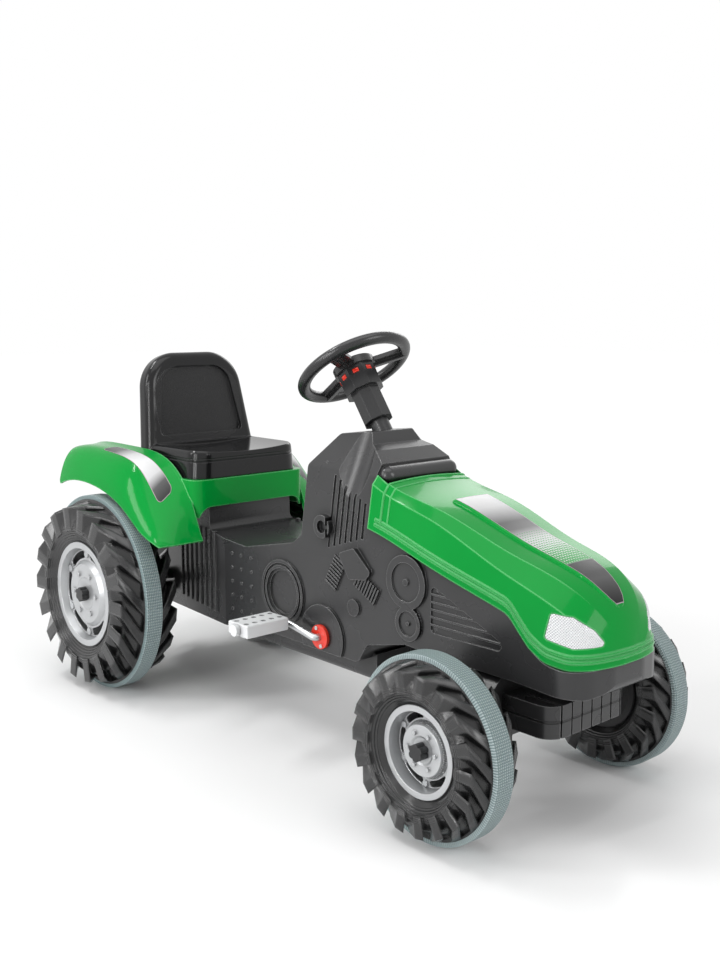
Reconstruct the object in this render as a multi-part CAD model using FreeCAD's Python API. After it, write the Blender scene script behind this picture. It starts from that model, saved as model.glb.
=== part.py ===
import FreeCAD, Part
import math
import os

V = FreeCAD.Vector

# Ride-on pedal tractor. Lengths in millimetres, angles in degrees.
# Places along X are measured from the rear axle while modelling; the finished
# pieces are moved so that the origin is under the middle of the tractor.
# +X is forward, +Y is the rider's left, +Z is up.

# Layout
wheelbase = 827.0
nose_reach = 992.8
rear_track = 396.0
front_track = 380.0
rear_wheel_radius = 175.0
front_wheel_radius = 124.0
overrun = 30.0
join_tolerance = 1e-6
offset_tolerance = 0.01
running_clearance = 0.05
piece_clearance = 0.3
seat_clearance = 0.05

# Chassis body: one hollow moulding
body_wall = 4.5
body_half_width = 98.0
body_rear_half_width = 60.0
body_rear_x = -100.0
body_waist_x = 240.0
body_rear_floor = 128.0
body_waist_floor = 142.0
body_tub_start_x = 380.0
body_tub_floor = 157.0
body_tub_end_x = 581.0
arch_start_x = 600.0
arch_start_z = 188.0
arch_top_x = 680.0
arch_top_z = 207.0
front_floor = 203.0
front_floor_start_x = 765.0
front_floor_end_x = 880.0
bumper_floor = 197.0
bumper_front_x = 989.0
bumper_half_width = 96.0
bumper_corner_radius = 46.0
deck_height = 384.0
pedestal_front_x = 180.0
pedestal_foot_x = 181.5
saddle_rear_z = 298.0
saddle_low_x = 300.0
saddle_low_z = 289.0
saddle_front_x = 424.0
saddle_front_z = 315.0
tower_rear_x = 444.0
tower_rear_z = 330.0
tower_rear_top_z = 440.0
panel_top_x = 487.0
panel_top_z = 490.0
dash_front_x = 550.0
dash_front_z = 497.0
terrace_x = (561.0, 579.0)
terrace_z = (479.0, 472.0)
tower_front_x = 602.0
tower_front_z = 456.0
tower_shoulder_z = 306.0
tower_shoulder_half_width = 80.0
dash_half_width = 42.0
body_soft_radius = 14.0
roll_x = 607.0
roll_z = 438.0
roll_radius = 14.0
roll_half_length = 62.5
scoop_radius = 56.0
scoop_x = 552.0
scoop_depth = 20.0
scoop_foot_z = 428.0
scoop_lean = 24.0
keel_half_width = 70.0
keel_floor = 120.0
keel_rear_x = 262.0
keel_front_x = 592.0
keel_corner_radius = 16.0
lip_rise = 16.0
lip_inset = 12.0
trough_half_width = 15.0
trough_floor = 131.0
trough_rear_x = 40.0

# Moulded relief on both flanks of the body
relief_height = 3.5
relief_depth = 3.0
relief_root = 3.0
drum_x = 401.0
drum_z = 231.0
drum_radius = 53.0
drum_ring_shares = ((1.0, 0.90), (0.83, 0.74))
drum_pan_share = 0.66
gear_case_radius = 50.0
pulley_x = 684.0
pulley_z = 299.0
pulley_radius = 39.0
idler_x = 689.0
idler_z = 240.0
idler_radius = 25.0
pulley_pan_share = 0.72
pulley_bolt_share = 0.13
filter_x = 500.0
filter_z = 352.0
filter_radius = 18.0
filter_bore_share = 0.55
grille_x = (512.0, 584.0)
grille_floor_z = (322.0, 345.0)
grille_head_z = (432.0, 398.0)
grille_slots = 7
grille_slot_width = 5.0
cylinder_length = 52.0
cylinder_width = 27.0
cylinder_fins = 9
fin_share = 0.52
cylinder_places = ((532.0, 286.0, 28.0), (602.0, 276.0, -62.0))
cover_corners = ((541.0, 318.0), (575.0, 331.0), (614.0, 300.0), (602.0, 287.0), (566.0, 282.0))
cover_radius = 6.0
cover_height = 5.2
exhaust_x = 573.0
exhaust_z = 240.0
exhaust_radius = 13.0
louvre_corners = ((731.0, 304.0), (731.0, 236.0), (884.0, 238.0))
louvre_radius = 7.0
louvre_count = 5
louvre_height = 3.0
louvre_end_gap = 10.0
louvre_head_gap = 15.0
rivet_columns_x = (262.0, 288.0, 316.0)
rivet_first_z = 176.0
rivet_pitch = 24.0
rivet_count = 5
rivet_radius = 3.0
rivet_height = 1.6
flute_count = 8
flute_first_x = 62.0
flute_pitch = 20.0
flute_width = 8.0
flute_height = 2.5
flute_floor_z = 158.0
flute_head_z = 300.0

# Hood: lofted shell over the nose
hood_wall = 4.5
hood_rear_x = 603.0
hood_half_width = 101.5
hood_crown = 447.0
hood_station_shares = (
    (0.000, 0.994, 0.985, 0.783, 0.958, 0.887, 1.240),
    (0.250, 0.924, 0.917, 0.739, 0.890, 0.887, 1.215),
    (0.500, 0.856, 0.849, 0.690, 0.814, 0.892, 1.180),
    (0.720, 0.795, 0.787, 0.640, 0.741, 0.887, 1.055),
    (0.860, 0.748, 0.738, 0.552, 0.691, 0.837, 0.955),
    (0.915, 0.714, 0.702, 0.468, 0.660, 0.749, 0.915),
    (0.955, 0.673, 0.660, 0.365, 0.629, 0.611, 0.840),
    (0.981, 0.622, 0.611, 0.246, 0.593, 0.433, 0.724),
    (0.995, 0.575, 0.566, 0.128, 0.559, 0.236, 0.590),
    (1.000, 0.552, 0.546, 0.069, 0.544, 0.128, 0.387),
)
hood_edge = (
    (602.0, 364.5, 0.0), (738.0, 327.0, 300.0), (868.0, 290.0, 40.0), (903.0, 254.0, 30.0),
    (926.0, 239.0, 40.0), (958.0, 234.0, 60.0),
)
hood_edge_nose_z = 236.0
hood_ear_x = 624.0
hood_ear_half_width = 78.0
hood_ear_floor_z = 416.0
hood_foot_gap = 0.3
lamp_corners = ((0.0, 303.0), (-7.0, 270.0), (22.0, 262.0), (66.0, 265.0), (50.0, 284.0), (24.0, 300.0))
lamp_corner_radius = 4.0
lamp_plane_x = 938.0
lamp_plane_y = 92.0
lamp_yaw = 56.0
lamp_reach = 60.0
hood_soft_share = 0.5
loft_degree = 3
bead_height = 1.2
bead_width = 3.5
bead_rises = (9.0, 16.0)
bead_rear_gap = 12.0

# Fender: both mudguards and the deck under the seat in one moulding
fender_wall = 4.0
fender_inner_y = 119.0
fender_crest_y = 168.0
fender_outer_y = 205.0
fender_tail_x = -146.0
fender_bow_share = 0.55
fender_flank_share = 0.7
fender_station_shares = (
    (128.0, 1.720, 1.690, 1.310, 0.060),
    (110.0, 1.560, 1.530, 1.180, 0.313),
    (90.0, 1.462, 1.417, 1.082, 0.291),
    (70.0, 1.497, 1.394, 1.050, 0.250),
    (53.0, 1.465, 1.305, 1.055, 0.060),
    (40.0, 1.380, 1.305, 1.115, 0.050),
    (28.5, 1.345, 1.335, 1.350, 0.050),
)
deck_rear_x = -108.0
apron_front_x = 187.0
apron_foot_z = 322.0
apron_return = 44.0
apron_arch_half_width = 104.0
apron_arch_z = 340.0
apron_arch_radius = 24.0
deck_corner_radius = 22.0

# Seat: one hollow moulding, cushion and back
seat_wall = 4.0
seat_rear_x = 2.0
seat_front_x = 181.0
seat_half_width = 114.0
seat_top_half_width = 110.0
seat_height = 50.0
seat_corner_radius = 30.0
seat_soft_radius = 9.0
seat_seam_share = 0.58
seat_seam_depth = 1.5
seat_seam_height = 2.0
seat_dish_depth = 7.0
back_height = 210.0
back_half_width = 118.0
back_top_half_width = 98.0
back_thickness = 42.0
back_top_radius = 68.0
back_foot_radius = 8.0
back_soft_radius = 15.0
back_lean = 10.0
back_border = 27.0
back_pan_depth = 7.0

# Steering
column_tilt = 35.4
wheel_centre_x = 462.5
wheel_centre_z = 587.0
steering_wheel_radius = 95.0
rim_half_height = 9.0
rim_half_depth = 10.0
spoke_width = 26.0
spoke_thickness = 7.0
spoke_angles = (0.0, 120.0, 240.0)
hub_radius = 34.0
hub_thickness = 12.0
collar_radius = 32.0
collar_top = 6.0
collar_foot = 44.0
collar_window_width = 11.0
collar_window_height = 8.0
collar_window_drop = 6.0
collar_bore_share = 0.78
column_radius = 24.0
column_foot = 98.0
column_sides = 8
bellows_radius = 22.0
horn_radius = 20.0
horn_thickness = 7.0
horn_travel = 3.0
horn_soft_radius = 1.8
shaft_radius = 6.0
shaft_foot = 484.0
shaft_bend_radius = 9.0
steering_crank = 50.0
steering_pin_length = 32.0
neck_radius = 15.0
neck_foot = 136.0
foot_boss_radius = 17.0
foot_boss_top = 438.0
foot_boss_foot = 474.0

# Front axle
kingpin_y = 112.0
kingpin_radius = 5.0
kingpin_head_radius = 9.0
kingpin_head_height = 5.0
barrel_radius = 13.0
barrel_top_z = 150.0
barrel_floor_z = 100.0
lug_thickness = 10.0
bolster_half_depth = 24.0
bolster_web_half_width = 86.0
bolster_top_half_width = 82.0
bolster_lug_reach = 16.0
bolster_soft_radius = 6.0
bolster_skin = 8.0
bolster_bays = 3
bolster_arch_half_width = 60.0
bolster_arch_z = 114.0
arm_width = 18.0
arm_thickness = 10.0
arm_pin_radius = 4.0
tie_rod_thickness = 5.0
tie_rod_width = 16.0
tie_slot_half_length = 17.3
tie_slot_clearance = 1.9
tie_plate_half_width = 17.0
tie_plate_half_length = 25.3
tie_slot_shift = 6.3
end_round_share = 0.95
stub_radius = 6.0
stub_root_gap = 2.5
stub_collar_radius = 9.0
weights_front_x = 934.0
weights_half_width = 84.0
weights_floor_z = 133.0
weights_head_z = 177.0
weights_corner_radius = 26.0
weights_grooves = 7
weights_groove_width = 3.0
weights_groove_depth = 4.0

# Drive
crank_x = 500.0
crank_z = 180.0
crank_radius = 76.0
crank_rest_angle = 169.0
crank_rod_radius = 5.5
crank_bend_radius = 8.0
crank_knee_y = 115.5
pedal_inner_y = 126.0
pedal_length = 80.0
pedal_depth = 50.0
pedal_thickness = 20.0
pedal_soft_radius = 2.5
pedal_hole_radius = 4.2
pedal_hole_rows = 2
pedal_hole_columns = 5
pedal_cap_radius = 9.0
pedal_cap_length = 5.0
flange_radius = 19.0
flange_thickness = 5.0
flange_spigot_radius = 12.0
flange_spigot_length = 12.0
flange_screw_radius = 3.2
flange_screw_height = 2.0
flange_screw_share = 0.7
flange_screw_lean_share = 0.28
chain_pitch = 12.7
chain_y = 28.0
chain_roller_radius = 3.9
chain_roller_width = 4.0
chain_plate_half_height = 5.0
chain_plate_thickness = 1.4
crank_teeth = 18
axle_teeth = 14
sprocket_thickness = 3.0
sprocket_root_depth = 5.0
tooth_land_share = 0.28
tooth_root_shares = (0.48, 0.8)
sprocket_hub_radius = 13.0
sprocket_hub_length = 16.0
rear_axle_radius = 6.0
axle_boss_radius = 22.0
axle_boss_half_length = 76.0
axle_boss_length = 34.0
bush_radius = 11.0
bush_flange_radius = 17.0
bush_flange_thickness = 4.0
spacer_radius = 10.0
hitch_half_width = 20.0
hitch_plate_half_width = 27.0
hitch_plate_floor_z = 142.0
hitch_plate_height = 58.0
hitch_thickness = 8.0
hitch_plate_thickness = 5.0
hitch_length = 52.0
hitch_bore_radius = 6.5
hitch_tongue_z = 150.0

# Wheels
wheel_wall = 3.0
band_half_width = 15.5
band_thickness = 7.0
band_proud = 4.0
lug_count = 18
lug_sweep = 21.0
lug_spread = 8.4
lug_foot_spread = 10.4
lug_height = 8.0
lug_root = 3.0
lug_sweep_shares = (0.0, 0.45, 1.0)
bolt_count = 6
slot_half_angle = 17.0
front_wheel = dict(
    radius=front_wheel_radius, half_width=42.0, shoulder_y=33.0, shoulder_radius=98.0, lug_end_radius=107.0,
    crown_radius=109.0, bulge_radius=80.0, rim_radius=58.0, lip_y=27.0, dish=17.0, bead_y=24.0,
    hub_y=20.0, axle_radius=stub_radius, cap_radius=12.0, cap_length=13.0,
)
rear_wheel = dict(
    radius=rear_wheel_radius, half_width=55.0, shoulder_y=45.0, shoulder_radius=142.0, lug_end_radius=157.0,
    crown_radius=157.0, bulge_radius=118.0, rim_radius=91.0, lip_y=44.0, dish=13.0, bead_y=41.0,
    hub_y=38.0, axle_radius=rear_axle_radius, cap_radius=13.0, cap_length=13.0,
)
wheel_soft_radius = 6.0
rim_wall = 3.0
rim_lip_share = 0.91
rim_valley_shares = (0.86, 0.66)
rim_disc_shares = (0.58, 0.34)
rim_disc_rise_share = 0.55
rim_slot_share = 0.77
rim_slot_height_share = 0.075
rim_bolt_share = 0.78
rim_bolt_radius_share = 0.07
disc_bolt_share = 0.42
disc_bolt_radius_share = 0.05
bolt_height = 3.0
hub_tube_wall = 7.0
cap_lobes = 6
cap_waist_share = 0.78


# Geometry helpers

def rounded_edges(corners, closed=True):
    # Straight runs joined by tangent arcs; a corner is a point and its radius.
    count = len(corners)
    joints = []
    for index, (point, radius) in enumerate(corners):
        at_end = not closed and index in (0, count - 1)
        if radius == 0 or at_end:
            joints.append((point, None, point))
            continue
        back = (corners[index - 1][0] - point).normalize()
        ahead = (corners[(index + 1) % count][0] - point).normalize()
        half = back.getAngle(ahead) / 2
        reach = radius / math.tan(half)
        middle = (back + ahead).normalize() * (radius / math.sin(half) - radius)
        joints.append((point + back * reach, point + middle, point + ahead * reach))
    edges = []
    for index, (start, middle, end) in enumerate(joints):
        if middle is not None:
            edges.append(Part.Arc(start, middle, end).toShape())
        if closed or index < count - 1:
            following = joints[(index + 1) % count][0]
            if (following - end).Length > join_tolerance:
                edges.append(Part.LineSegment(end, following).toShape())
    return edges


def side_point(x, z):
    return V(x, 0, z)


def plan_point(x, y):
    return V(x, y, 0)


def front_point(y, z):
    return V(0, y, z)


def outline_face(corners, point):
    lifted = [(point(corner[0], corner[1]), corner[2]) for corner in corners]
    return Part.Face(Part.Wire(rounded_edges(lifted)))


def inset_corners(corners, inset):
    # Moves each run of a counter-clockwise outline inwards by the inset.
    if inset == 0:
        return corners
    count = len(corners)
    runs = []
    for index in range(count):
        start = corners[index]
        end = corners[(index + 1) % count]
        run = V(end[0] - start[0], end[1] - start[1], 0).normalize()
        inward = V(-run.y, run.x, 0)
        runs.append((V(start[0], start[1], 0) + inward * inset, run))
    moved = []
    for index in range(count):
        before, ahead = runs[index - 1], runs[index]
        turn = before[1].cross(ahead[1]).z
        along = (ahead[0] - before[0]).cross(ahead[1]).z / turn
        point = before[0] + before[1] * along
        radius = corners[index][2]
        kept = 0 if radius == 0 else max(radius - inset, 0) if turn > 0 else radius + inset
        moved.append((point.x, point.y, kept))
    return moved


def side_slab(corners, y_start, y_end):
    slab = outline_face(corners, side_point).extrude(V(0, y_end - y_start, 0))
    return slab.translated(V(0, y_start, 0))


def plan_slab(corners, z_start, z_end):
    slab = outline_face(corners, plan_point).extrude(V(0, 0, z_end - z_start))
    return slab.translated(V(0, 0, z_start))


def front_slab(corners, x_start, x_end):
    slab = outline_face(corners, front_point).extrude(V(x_end - x_start, 0, 0))
    return slab.translated(V(x_start, 0, 0))


def block(x_start, x_end, y_start, y_end, z_start, z_end):
    return Part.makeBox(x_end - x_start, y_end - y_start, z_end - z_start, V(x_start, y_start, z_start))


def rod_y(radius, y_start, y_end, x=0, z=0):
    return Part.makeCylinder(radius, y_end - y_start, V(x, y_start, z), V(0, 1, 0))


def rod_z(radius, z_start, z_end, x=0, y=0):
    return Part.makeCylinder(radius, z_end - z_start, V(x, y, z_start))


def mirrored(shape):
    return shape.mirror(V(0, 0, 0), V(0, 1, 0))


def pair(shape):
    return [shape, mirrored(shape)]


def bent_rod(corners, radius):
    path = Part.Wire(rounded_edges(corners, closed=False))
    start = corners[0][0]
    run = corners[1][0] - start
    ring = Part.Wire(Part.Circle(start, run, radius).toShape())
    return path.makePipeShell([ring], True, False)


def spun(profile):
    return profile.revolve(V(0, 0, 0), V(0, 1, 0), 360)


def spun_outline(corners):
    # Corners are (distance along the axle, radius, corner radius).
    return spun(outline_face(corners, front_point))


# Wheels, right-hand side: the outer face looks towards -Y

def on_wheel(y, radius, angle):
    turn = math.radians(angle)
    return V(radius * math.cos(turn), y, radius * math.sin(turn))


def tyre_lug(size, side, angle):
    # A slanting bar from beside the tread band over the shoulder, with a tall end on the sidewall.
    crown_top = size["crown_radius"] + lug_height
    end_top = size["lug_end_radius"]
    crown_low = size["crown_radius"] - lug_root - lug_height
    end_low = size["bulge_radius"] - lug_root
    rows = (
        (band_half_width, crown_low, crown_top, lug_sweep_shares[0]),
        ((band_half_width + size["half_width"]) / 2, (crown_low + end_low) / 2, (crown_top + end_top) / 2,
         lug_sweep_shares[1]),
        (size["half_width"], end_low, end_top, lug_sweep_shares[2]),
    )
    sections = []
    for y, low, top, sweep_share in rows:
        middle = angle + lug_sweep * sweep_share
        loop = [
            on_wheel(side * y, low, middle - lug_foot_spread / 2),
            on_wheel(side * y, low, middle + lug_foot_spread / 2),
            on_wheel(side * y, top, middle + lug_spread / 2),
            on_wheel(side * y, top, middle - lug_spread / 2),
        ]
        sections.append(Part.makePolygon(loop + loop[:1]))
    return Part.makeLoft(sections, True, True)


def tyre(size):
    half = size["half_width"]
    seat = size["radius"] - band_thickness
    bead = size["rim_radius"] + seat_clearance
    soft = wheel_soft_radius

    def carcass(inset):
        bead_radius = bead + inset
        right = [(size["bead_y"] - inset, bead_radius, 0.0)]
        if inset == 0:
            right.append((size["bead_y"], bead + rim_wall + seat_clearance, 0.0))
        right += [
            (half - inset, size["bulge_radius"], soft * 2),
            (size["shoulder_y"] - inset, size["shoulder_radius"], soft),
            (band_half_width + seat_clearance, size["crown_radius"] - inset, 0.0),
        ]
        if inset == 0:
            right.append((band_half_width + seat_clearance, seat, 0.0))
        left = [(-y, radius, soft_radius) for y, radius, soft_radius in reversed(right)]
        return spun_outline(right + left)

    shell = carcass(0).cut(carcass(wheel_wall))
    pitch = 360 / lug_count
    lugs = []
    for side in (-1, 1):
        offset = pitch / 2 if side > 0 else 0
        lugs += [tyre_lug(size, side, offset + pitch * turn) for turn in range(lug_count)]
    trim_radius = size["radius"] - band_proud + piece_clearance
    ring = rod_y(size["radius"], -half * 2, half * 2).cut(rod_y(trim_radius, -half * 2, half * 2))
    groove = rod_y(size["radius"], -band_half_width - seat_clearance, band_half_width + seat_clearance)
    groove = groove.cut(rod_y(seat, -half, half))
    return shell.fuse(lugs).cut(ring.fuse(groove))


def tread_band(size):
    seat = size["radius"] - band_thickness + seat_clearance
    edge = band_proud / 2
    return spun_outline([
        (-band_half_width, seat, 0.0), (band_half_width, seat, 0.0),
        (band_half_width, size["radius"], edge), (-band_half_width, size["radius"], edge),
    ])


def wheel_rim(size):
    radius = size["rim_radius"]
    lip = -size["lip_y"]
    floor = lip + size["dish"]
    disc = floor - size["dish"] * rim_disc_rise_share
    bore = size["axle_radius"] + running_clearance
    hub = bore + hub_tube_wall
    profile = [
        (lip, radius * rim_lip_share, 0.0),
        (floor, radius * rim_valley_shares[0], 0.0),
        (floor, radius * rim_valley_shares[1], 0.0),
        (disc, radius * rim_disc_shares[0], 0.0),
        (disc, radius * rim_disc_shares[1], 0.0),
        (disc + rim_wall / 2, radius * rim_disc_shares[1] - rim_wall, 0.0),
        (disc + rim_wall / 2, bore, 0.0),
        (0, bore, 0.0),
        (0, hub, 0.0),
        (disc + rim_wall * 2, hub, 0.0),
        (disc + rim_wall, radius * rim_disc_shares[0] + rim_wall / 2, 0.0),
        (floor + rim_wall, radius * rim_valley_shares[1] + rim_wall / 2, 0.0),
        (floor + rim_wall, radius * rim_valley_shares[0] + rim_wall, 0.0),
        (size["bead_y"], radius - rim_wall, 0.0),
        (size["bead_y"], radius, 0.0),
        (-size["bead_y"] - seat_clearance, radius, 0.0),
        (-size["bead_y"] - seat_clearance, radius + rim_wall, 0.0),
        (lip, radius + rim_wall, 0.0),
    ]
    rim = spun_outline(profile)
    slots = []
    bolts = []
    for turn in range(bolt_count):
        middle = 360 / bolt_count * turn
        slots.append(rim_slot(radius, floor, middle))
        bolt = on_wheel(floor - bolt_height, radius * rim_bolt_share, middle + 180 / bolt_count)
        bolts.append(Part.makeCylinder(radius * rim_bolt_radius_share, bolt_height * 2, bolt, V(0, 1, 0)))
        bolt = on_wheel(disc - bolt_height, radius * disc_bolt_share, middle)
        bolts.append(Part.makeCylinder(radius * disc_bolt_radius_share, bolt_height * 2, bolt, V(0, 1, 0)))
    return rim.cut(slots).fuse(bolts)


def rim_slot(radius, floor, angle):
    # A curved slot with round ends through the valley of the rim.
    middle = radius * rim_slot_share
    half = radius * rim_slot_height_share
    start, end = angle - slot_half_angle, angle + slot_half_angle
    outer = [on_wheel(0, middle + half, turn) for turn in (start, angle, end)]
    inner = [on_wheel(0, middle - half, turn) for turn in (end, angle, start)]
    far_end = on_wheel(0, middle, end + math.degrees(half / middle))
    near_end = on_wheel(0, middle, start - math.degrees(half / middle))
    edges = [
        Part.Arc(*outer).toShape(), Part.Arc(outer[2], far_end, inner[0]).toShape(),
        Part.Arc(*inner).toShape(), Part.Arc(inner[2], near_end, outer[0]).toShape(),
    ]
    slot = Part.Face(Part.Wire(edges)).extrude(V(0, rim_wall * 4, 0))
    return slot.translated(V(0, floor - rim_wall, 0))


def wheel_disc(size):
    # Closes the wheel on the side that looks at the body.
    radius = size["rim_radius"]
    face = size["bead_y"] + piece_clearance
    bore = size["axle_radius"] + running_clearance
    hub = bore + hub_tube_wall
    step = rim_wall * 2
    return spun_outline([
        (piece_clearance, bore, 0.0), (size["hub_y"], bore, 0.0), (size["hub_y"], hub, 0.0),
        (face - step, hub + step, 0.0), (face - step, radius * rim_valley_shares[1], 0.0),
        (face + rim_wall, radius - step, 0.0),
        (face + rim_wall, radius + rim_wall, 0.0), (face, radius + rim_wall, 0.0),
        (face, radius - step, 0.0),
        (face - step - rim_wall, radius * rim_valley_shares[1], 0.0),
        (face - step - rim_wall, hub + step, 0.0), (piece_clearance, hub, 0.0),
    ])


def hub_cap(size):
    # Lobed push-on cap over the end of the axle.
    floor = -size["lip_y"] + size["dish"]
    seat = floor - size["dish"] * rim_disc_rise_share + rim_wall / 2
    outer = size["cap_radius"]
    waist = outer * cap_waist_share
    pitch = 360 / cap_lobes
    edges = []
    for lobe in range(cap_lobes):
        start = lobe * pitch
        lobe_tip = on_wheel(0, outer, start + pitch / 2)
        lobe_end = on_wheel(0, waist, start + pitch)
        edges.append(Part.Arc(on_wheel(0, waist, start), lobe_tip, lobe_end).toShape())
    body = Part.Face(Part.Wire(edges)).extrude(V(0, -size["cap_length"], 0))
    body = body.translated(V(0, seat - piece_clearance, 0))
    pocket = axle_end(size) - seat_clearance
    return body.cut(rod_y(size["axle_radius"] + seat_clearance, pocket, seat))


def axle_end(size):
    floor = -size["lip_y"] + size["dish"]
    seat = floor - size["dish"] * rim_disc_rise_share + rim_wall / 2
    return seat - size["cap_length"] + rim_wall


def wheel_pieces(size):
    return dict(
        tyre=tyre(size), tread_band=tread_band(size), rim=wheel_rim(size),
        inner_disc=wheel_disc(size), hub_cap=hub_cap(size),
    )


# Chassis body

def hood_line(drop):
    # Lower edge of the hood, from the nose back to the tower.
    line = [(x, z - drop, radius) for x, z, radius in reversed(hood_edge)]
    nose_z = hood_edge_nose_z - drop
    return [(bumper_front_x + overrun, nose_z, 0.0), (bumper_front_x, nose_z, 0.0)] + line


def body_side(inset):
    bottom = [
        (body_rear_x, body_rear_floor, body_soft_radius),
        (body_waist_x, body_waist_floor, 0.0),
        (body_tub_start_x, body_tub_floor, 0.0),
        (body_tub_end_x, body_tub_floor, body_soft_radius),
        (arch_start_x, arch_start_z, body_soft_radius),
        (arch_top_x, arch_top_z, 0.0),
        (front_floor_start_x, front_floor, 0.0),
        (front_floor_end_x, front_floor, 0.0),
        (bumper_front_x, bumper_floor, body_soft_radius),
    ]
    line = hood_line(hood_foot_gap)[1:-1]
    tower = [
        (tower_front_x, hood_edge[0][1] - hood_foot_gap, 0.0),
        (tower_front_x, tower_front_z, 0.0),
        (terrace_x[1], terrace_z[1], 0.0),
        (terrace_x[0], terrace_z[0], 0.0),
        (dash_front_x, dash_front_z, body_wall),
        (panel_top_x, panel_top_z, body_soft_radius),
        (tower_rear_x, tower_rear_top_z, body_soft_radius),
        (tower_rear_x, tower_rear_z, 0.0),
        (saddle_front_x, saddle_front_z, 0.0),
        (saddle_low_x, saddle_low_z, 0.0),
        (pedestal_foot_x, saddle_rear_z, body_soft_radius),
        (pedestal_front_x, deck_height, 0.0),
        (body_rear_x, deck_height, body_soft_radius),
    ]
    return inset_corners(bottom + line + tower, inset)


def body_plan(inset):
    near = [
        (body_rear_x, -body_rear_half_width, body_soft_radius),
        (0, -body_rear_half_width, 0.0),
        (body_waist_x, -body_half_width, body_soft_radius),
        (tower_front_x, -body_half_width, 0.0),
        (front_floor_end_x, -bumper_half_width, 0.0),
        (bumper_front_x - body_soft_radius, -bumper_half_width, bumper_corner_radius),
        (bumper_front_x, -bumper_half_width / 3, bumper_corner_radius),
    ]
    far = [(x, -y, radius) for x, y, radius in reversed(near)]
    return inset_corners(near + far, inset)


def body_front(inset):
    near = [
        (-body_half_width, keel_floor, 0.0),
        (body_half_width, keel_floor, 0.0),
        (body_half_width, tower_shoulder_z, 0.0),
        (tower_shoulder_half_width, tower_rear_top_z, body_soft_radius),
        (dash_half_width, dash_front_z + body_wall, 0.0),
    ]
    far = [(-y, z, radius) for y, z, radius in reversed(near[2:])]
    return inset_corners(near + far, inset)


def body_hull(inset):
    reach = body_half_width + overrun
    hull = side_slab(body_side(inset), -reach, reach)
    hull = hull.common(plan_slab(body_plan(inset), 0, dash_front_z + overrun))
    return hull.common(front_slab(body_front(inset), body_rear_x - overrun, nose_reach + overrun))


def hood_lip(inset):
    # Narrow upstand inside the hood that keeps it in place.
    line = hood_line(-lip_rise)
    corners = [(x, z, 0.0) for x, z, radius in line[3:-1]]
    rear_x = tower_front_x - overrun / 2
    foot_z = front_floor + overrun
    rear = [(rear_x, hood_edge[0][1] + lip_rise, 0.0)]
    feet = [(rear_x, foot_z, 0.0), (corners[0][0], foot_z, 0.0)]
    outline = inset_corners(feet + corners + rear, inset)
    half = body_half_width - lip_inset - inset
    return side_slab(outline, -half, half)


def keel(inset):
    half = keel_half_width - inset
    floor = keel_floor + inset
    radius = keel_corner_radius - inset
    top = body_tub_floor + body_wall * 2
    section = [(-half, floor, radius), (half, floor, radius), (half, top, 0.0), (-half, top, 0.0)]
    return front_slab(section, keel_rear_x + inset, keel_front_x - inset)


def chain_trough(inset):
    # Narrow channel in the floor that gives the chain's lower run room.
    near = chain_y - trough_half_width + inset
    far = chain_y + trough_half_width - inset
    front = keel_rear_x + overrun
    return block(trough_rear_x + inset, front, near, far, trough_floor + inset, body_tub_floor)


def steering_axis(distance, lift=0):
    # Point on the steering axis, measured down from the wheel's centre;
    # lift is square to the axis, forwards and up.
    tilt = math.radians(column_tilt)
    along = V(math.sin(tilt), 0, -math.cos(tilt))
    square = V(math.cos(tilt), 0, math.sin(tilt))
    return V(wheel_centre_x, 0, wheel_centre_z) + along * distance + square * lift


def on_column(radius, start, end):
    top = steering_axis(start)
    run = steering_axis(end) - top
    return Part.makeCylinder(radius, run.Length, top, run)


def flank(corners, depth_in, depth_out):
    # A prism through the right-hand flank, from inside the wall outwards.
    return side_slab(corners, -body_half_width - depth_out, -body_half_width + depth_in)


def flank_disc(x, z, radius, depth_in, depth_out):
    return rod_y(radius, -body_half_width - depth_out, -body_half_width + depth_in, x, z)


def engine_relief():
    raised = []
    sunk = []
    for outer, inner in drum_ring_shares:
        ring = flank_disc(drum_x, drum_z, drum_radius * outer, relief_root, relief_height)
        raised.append(ring.cut(flank_disc(drum_x, drum_z, drum_radius * inner, overrun, overrun)))
    sunk.append(flank_disc(drum_x, drum_z, drum_radius * drum_pan_share, relief_depth, overrun))
    case = flank_disc(crank_x, crank_z, gear_case_radius, relief_root, relief_height)
    below = crank_z - gear_case_radius
    raised.append(case.cut(block(crank_x - gear_case_radius, crank_x + gear_case_radius,
                                 -body_half_width - overrun, 0, below, body_tub_floor)))
    for x, z, radius in ((pulley_x, pulley_z, pulley_radius), (idler_x, idler_z, idler_radius)):
        ring = flank_disc(x, z, radius, relief_root + relief_height, relief_height)
        raised.append(ring.cut(flank_disc(x, z, radius * pulley_pan_share, -relief_depth / 3, overrun)))
        raised.append(flank_disc(x, z, radius * pulley_bolt_share, relief_root, relief_height))
    ring = flank_disc(filter_x, filter_z, filter_radius, relief_root * 2 + relief_height, relief_height)
    raised.append(ring)
    sunk.append(flank_disc(filter_x, filter_z, filter_radius * filter_bore_share, relief_depth, overrun))
    raised += [finned_cylinder(*place) for place in cylinder_places]
    raised.append(flank([(x, z, cover_radius) for x, z in cover_corners[::-1]], relief_root, cover_height))
    raised.append(flank_disc(exhaust_x, exhaust_z, exhaust_radius, relief_root, relief_height))
    sunk += grille_cuts()
    panel = flank([(x, z, louvre_radius) for x, z in louvre_corners], relief_depth, overrun)
    sunk.append(panel.cut(louvre_bars()))
    for x in rivet_columns_x:
        for row in range(rivet_count):
            z = rivet_first_z + rivet_pitch * row
            raised.append(flank_disc(x, z, rivet_radius, relief_root, rivet_height))
    return raised, sunk


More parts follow.
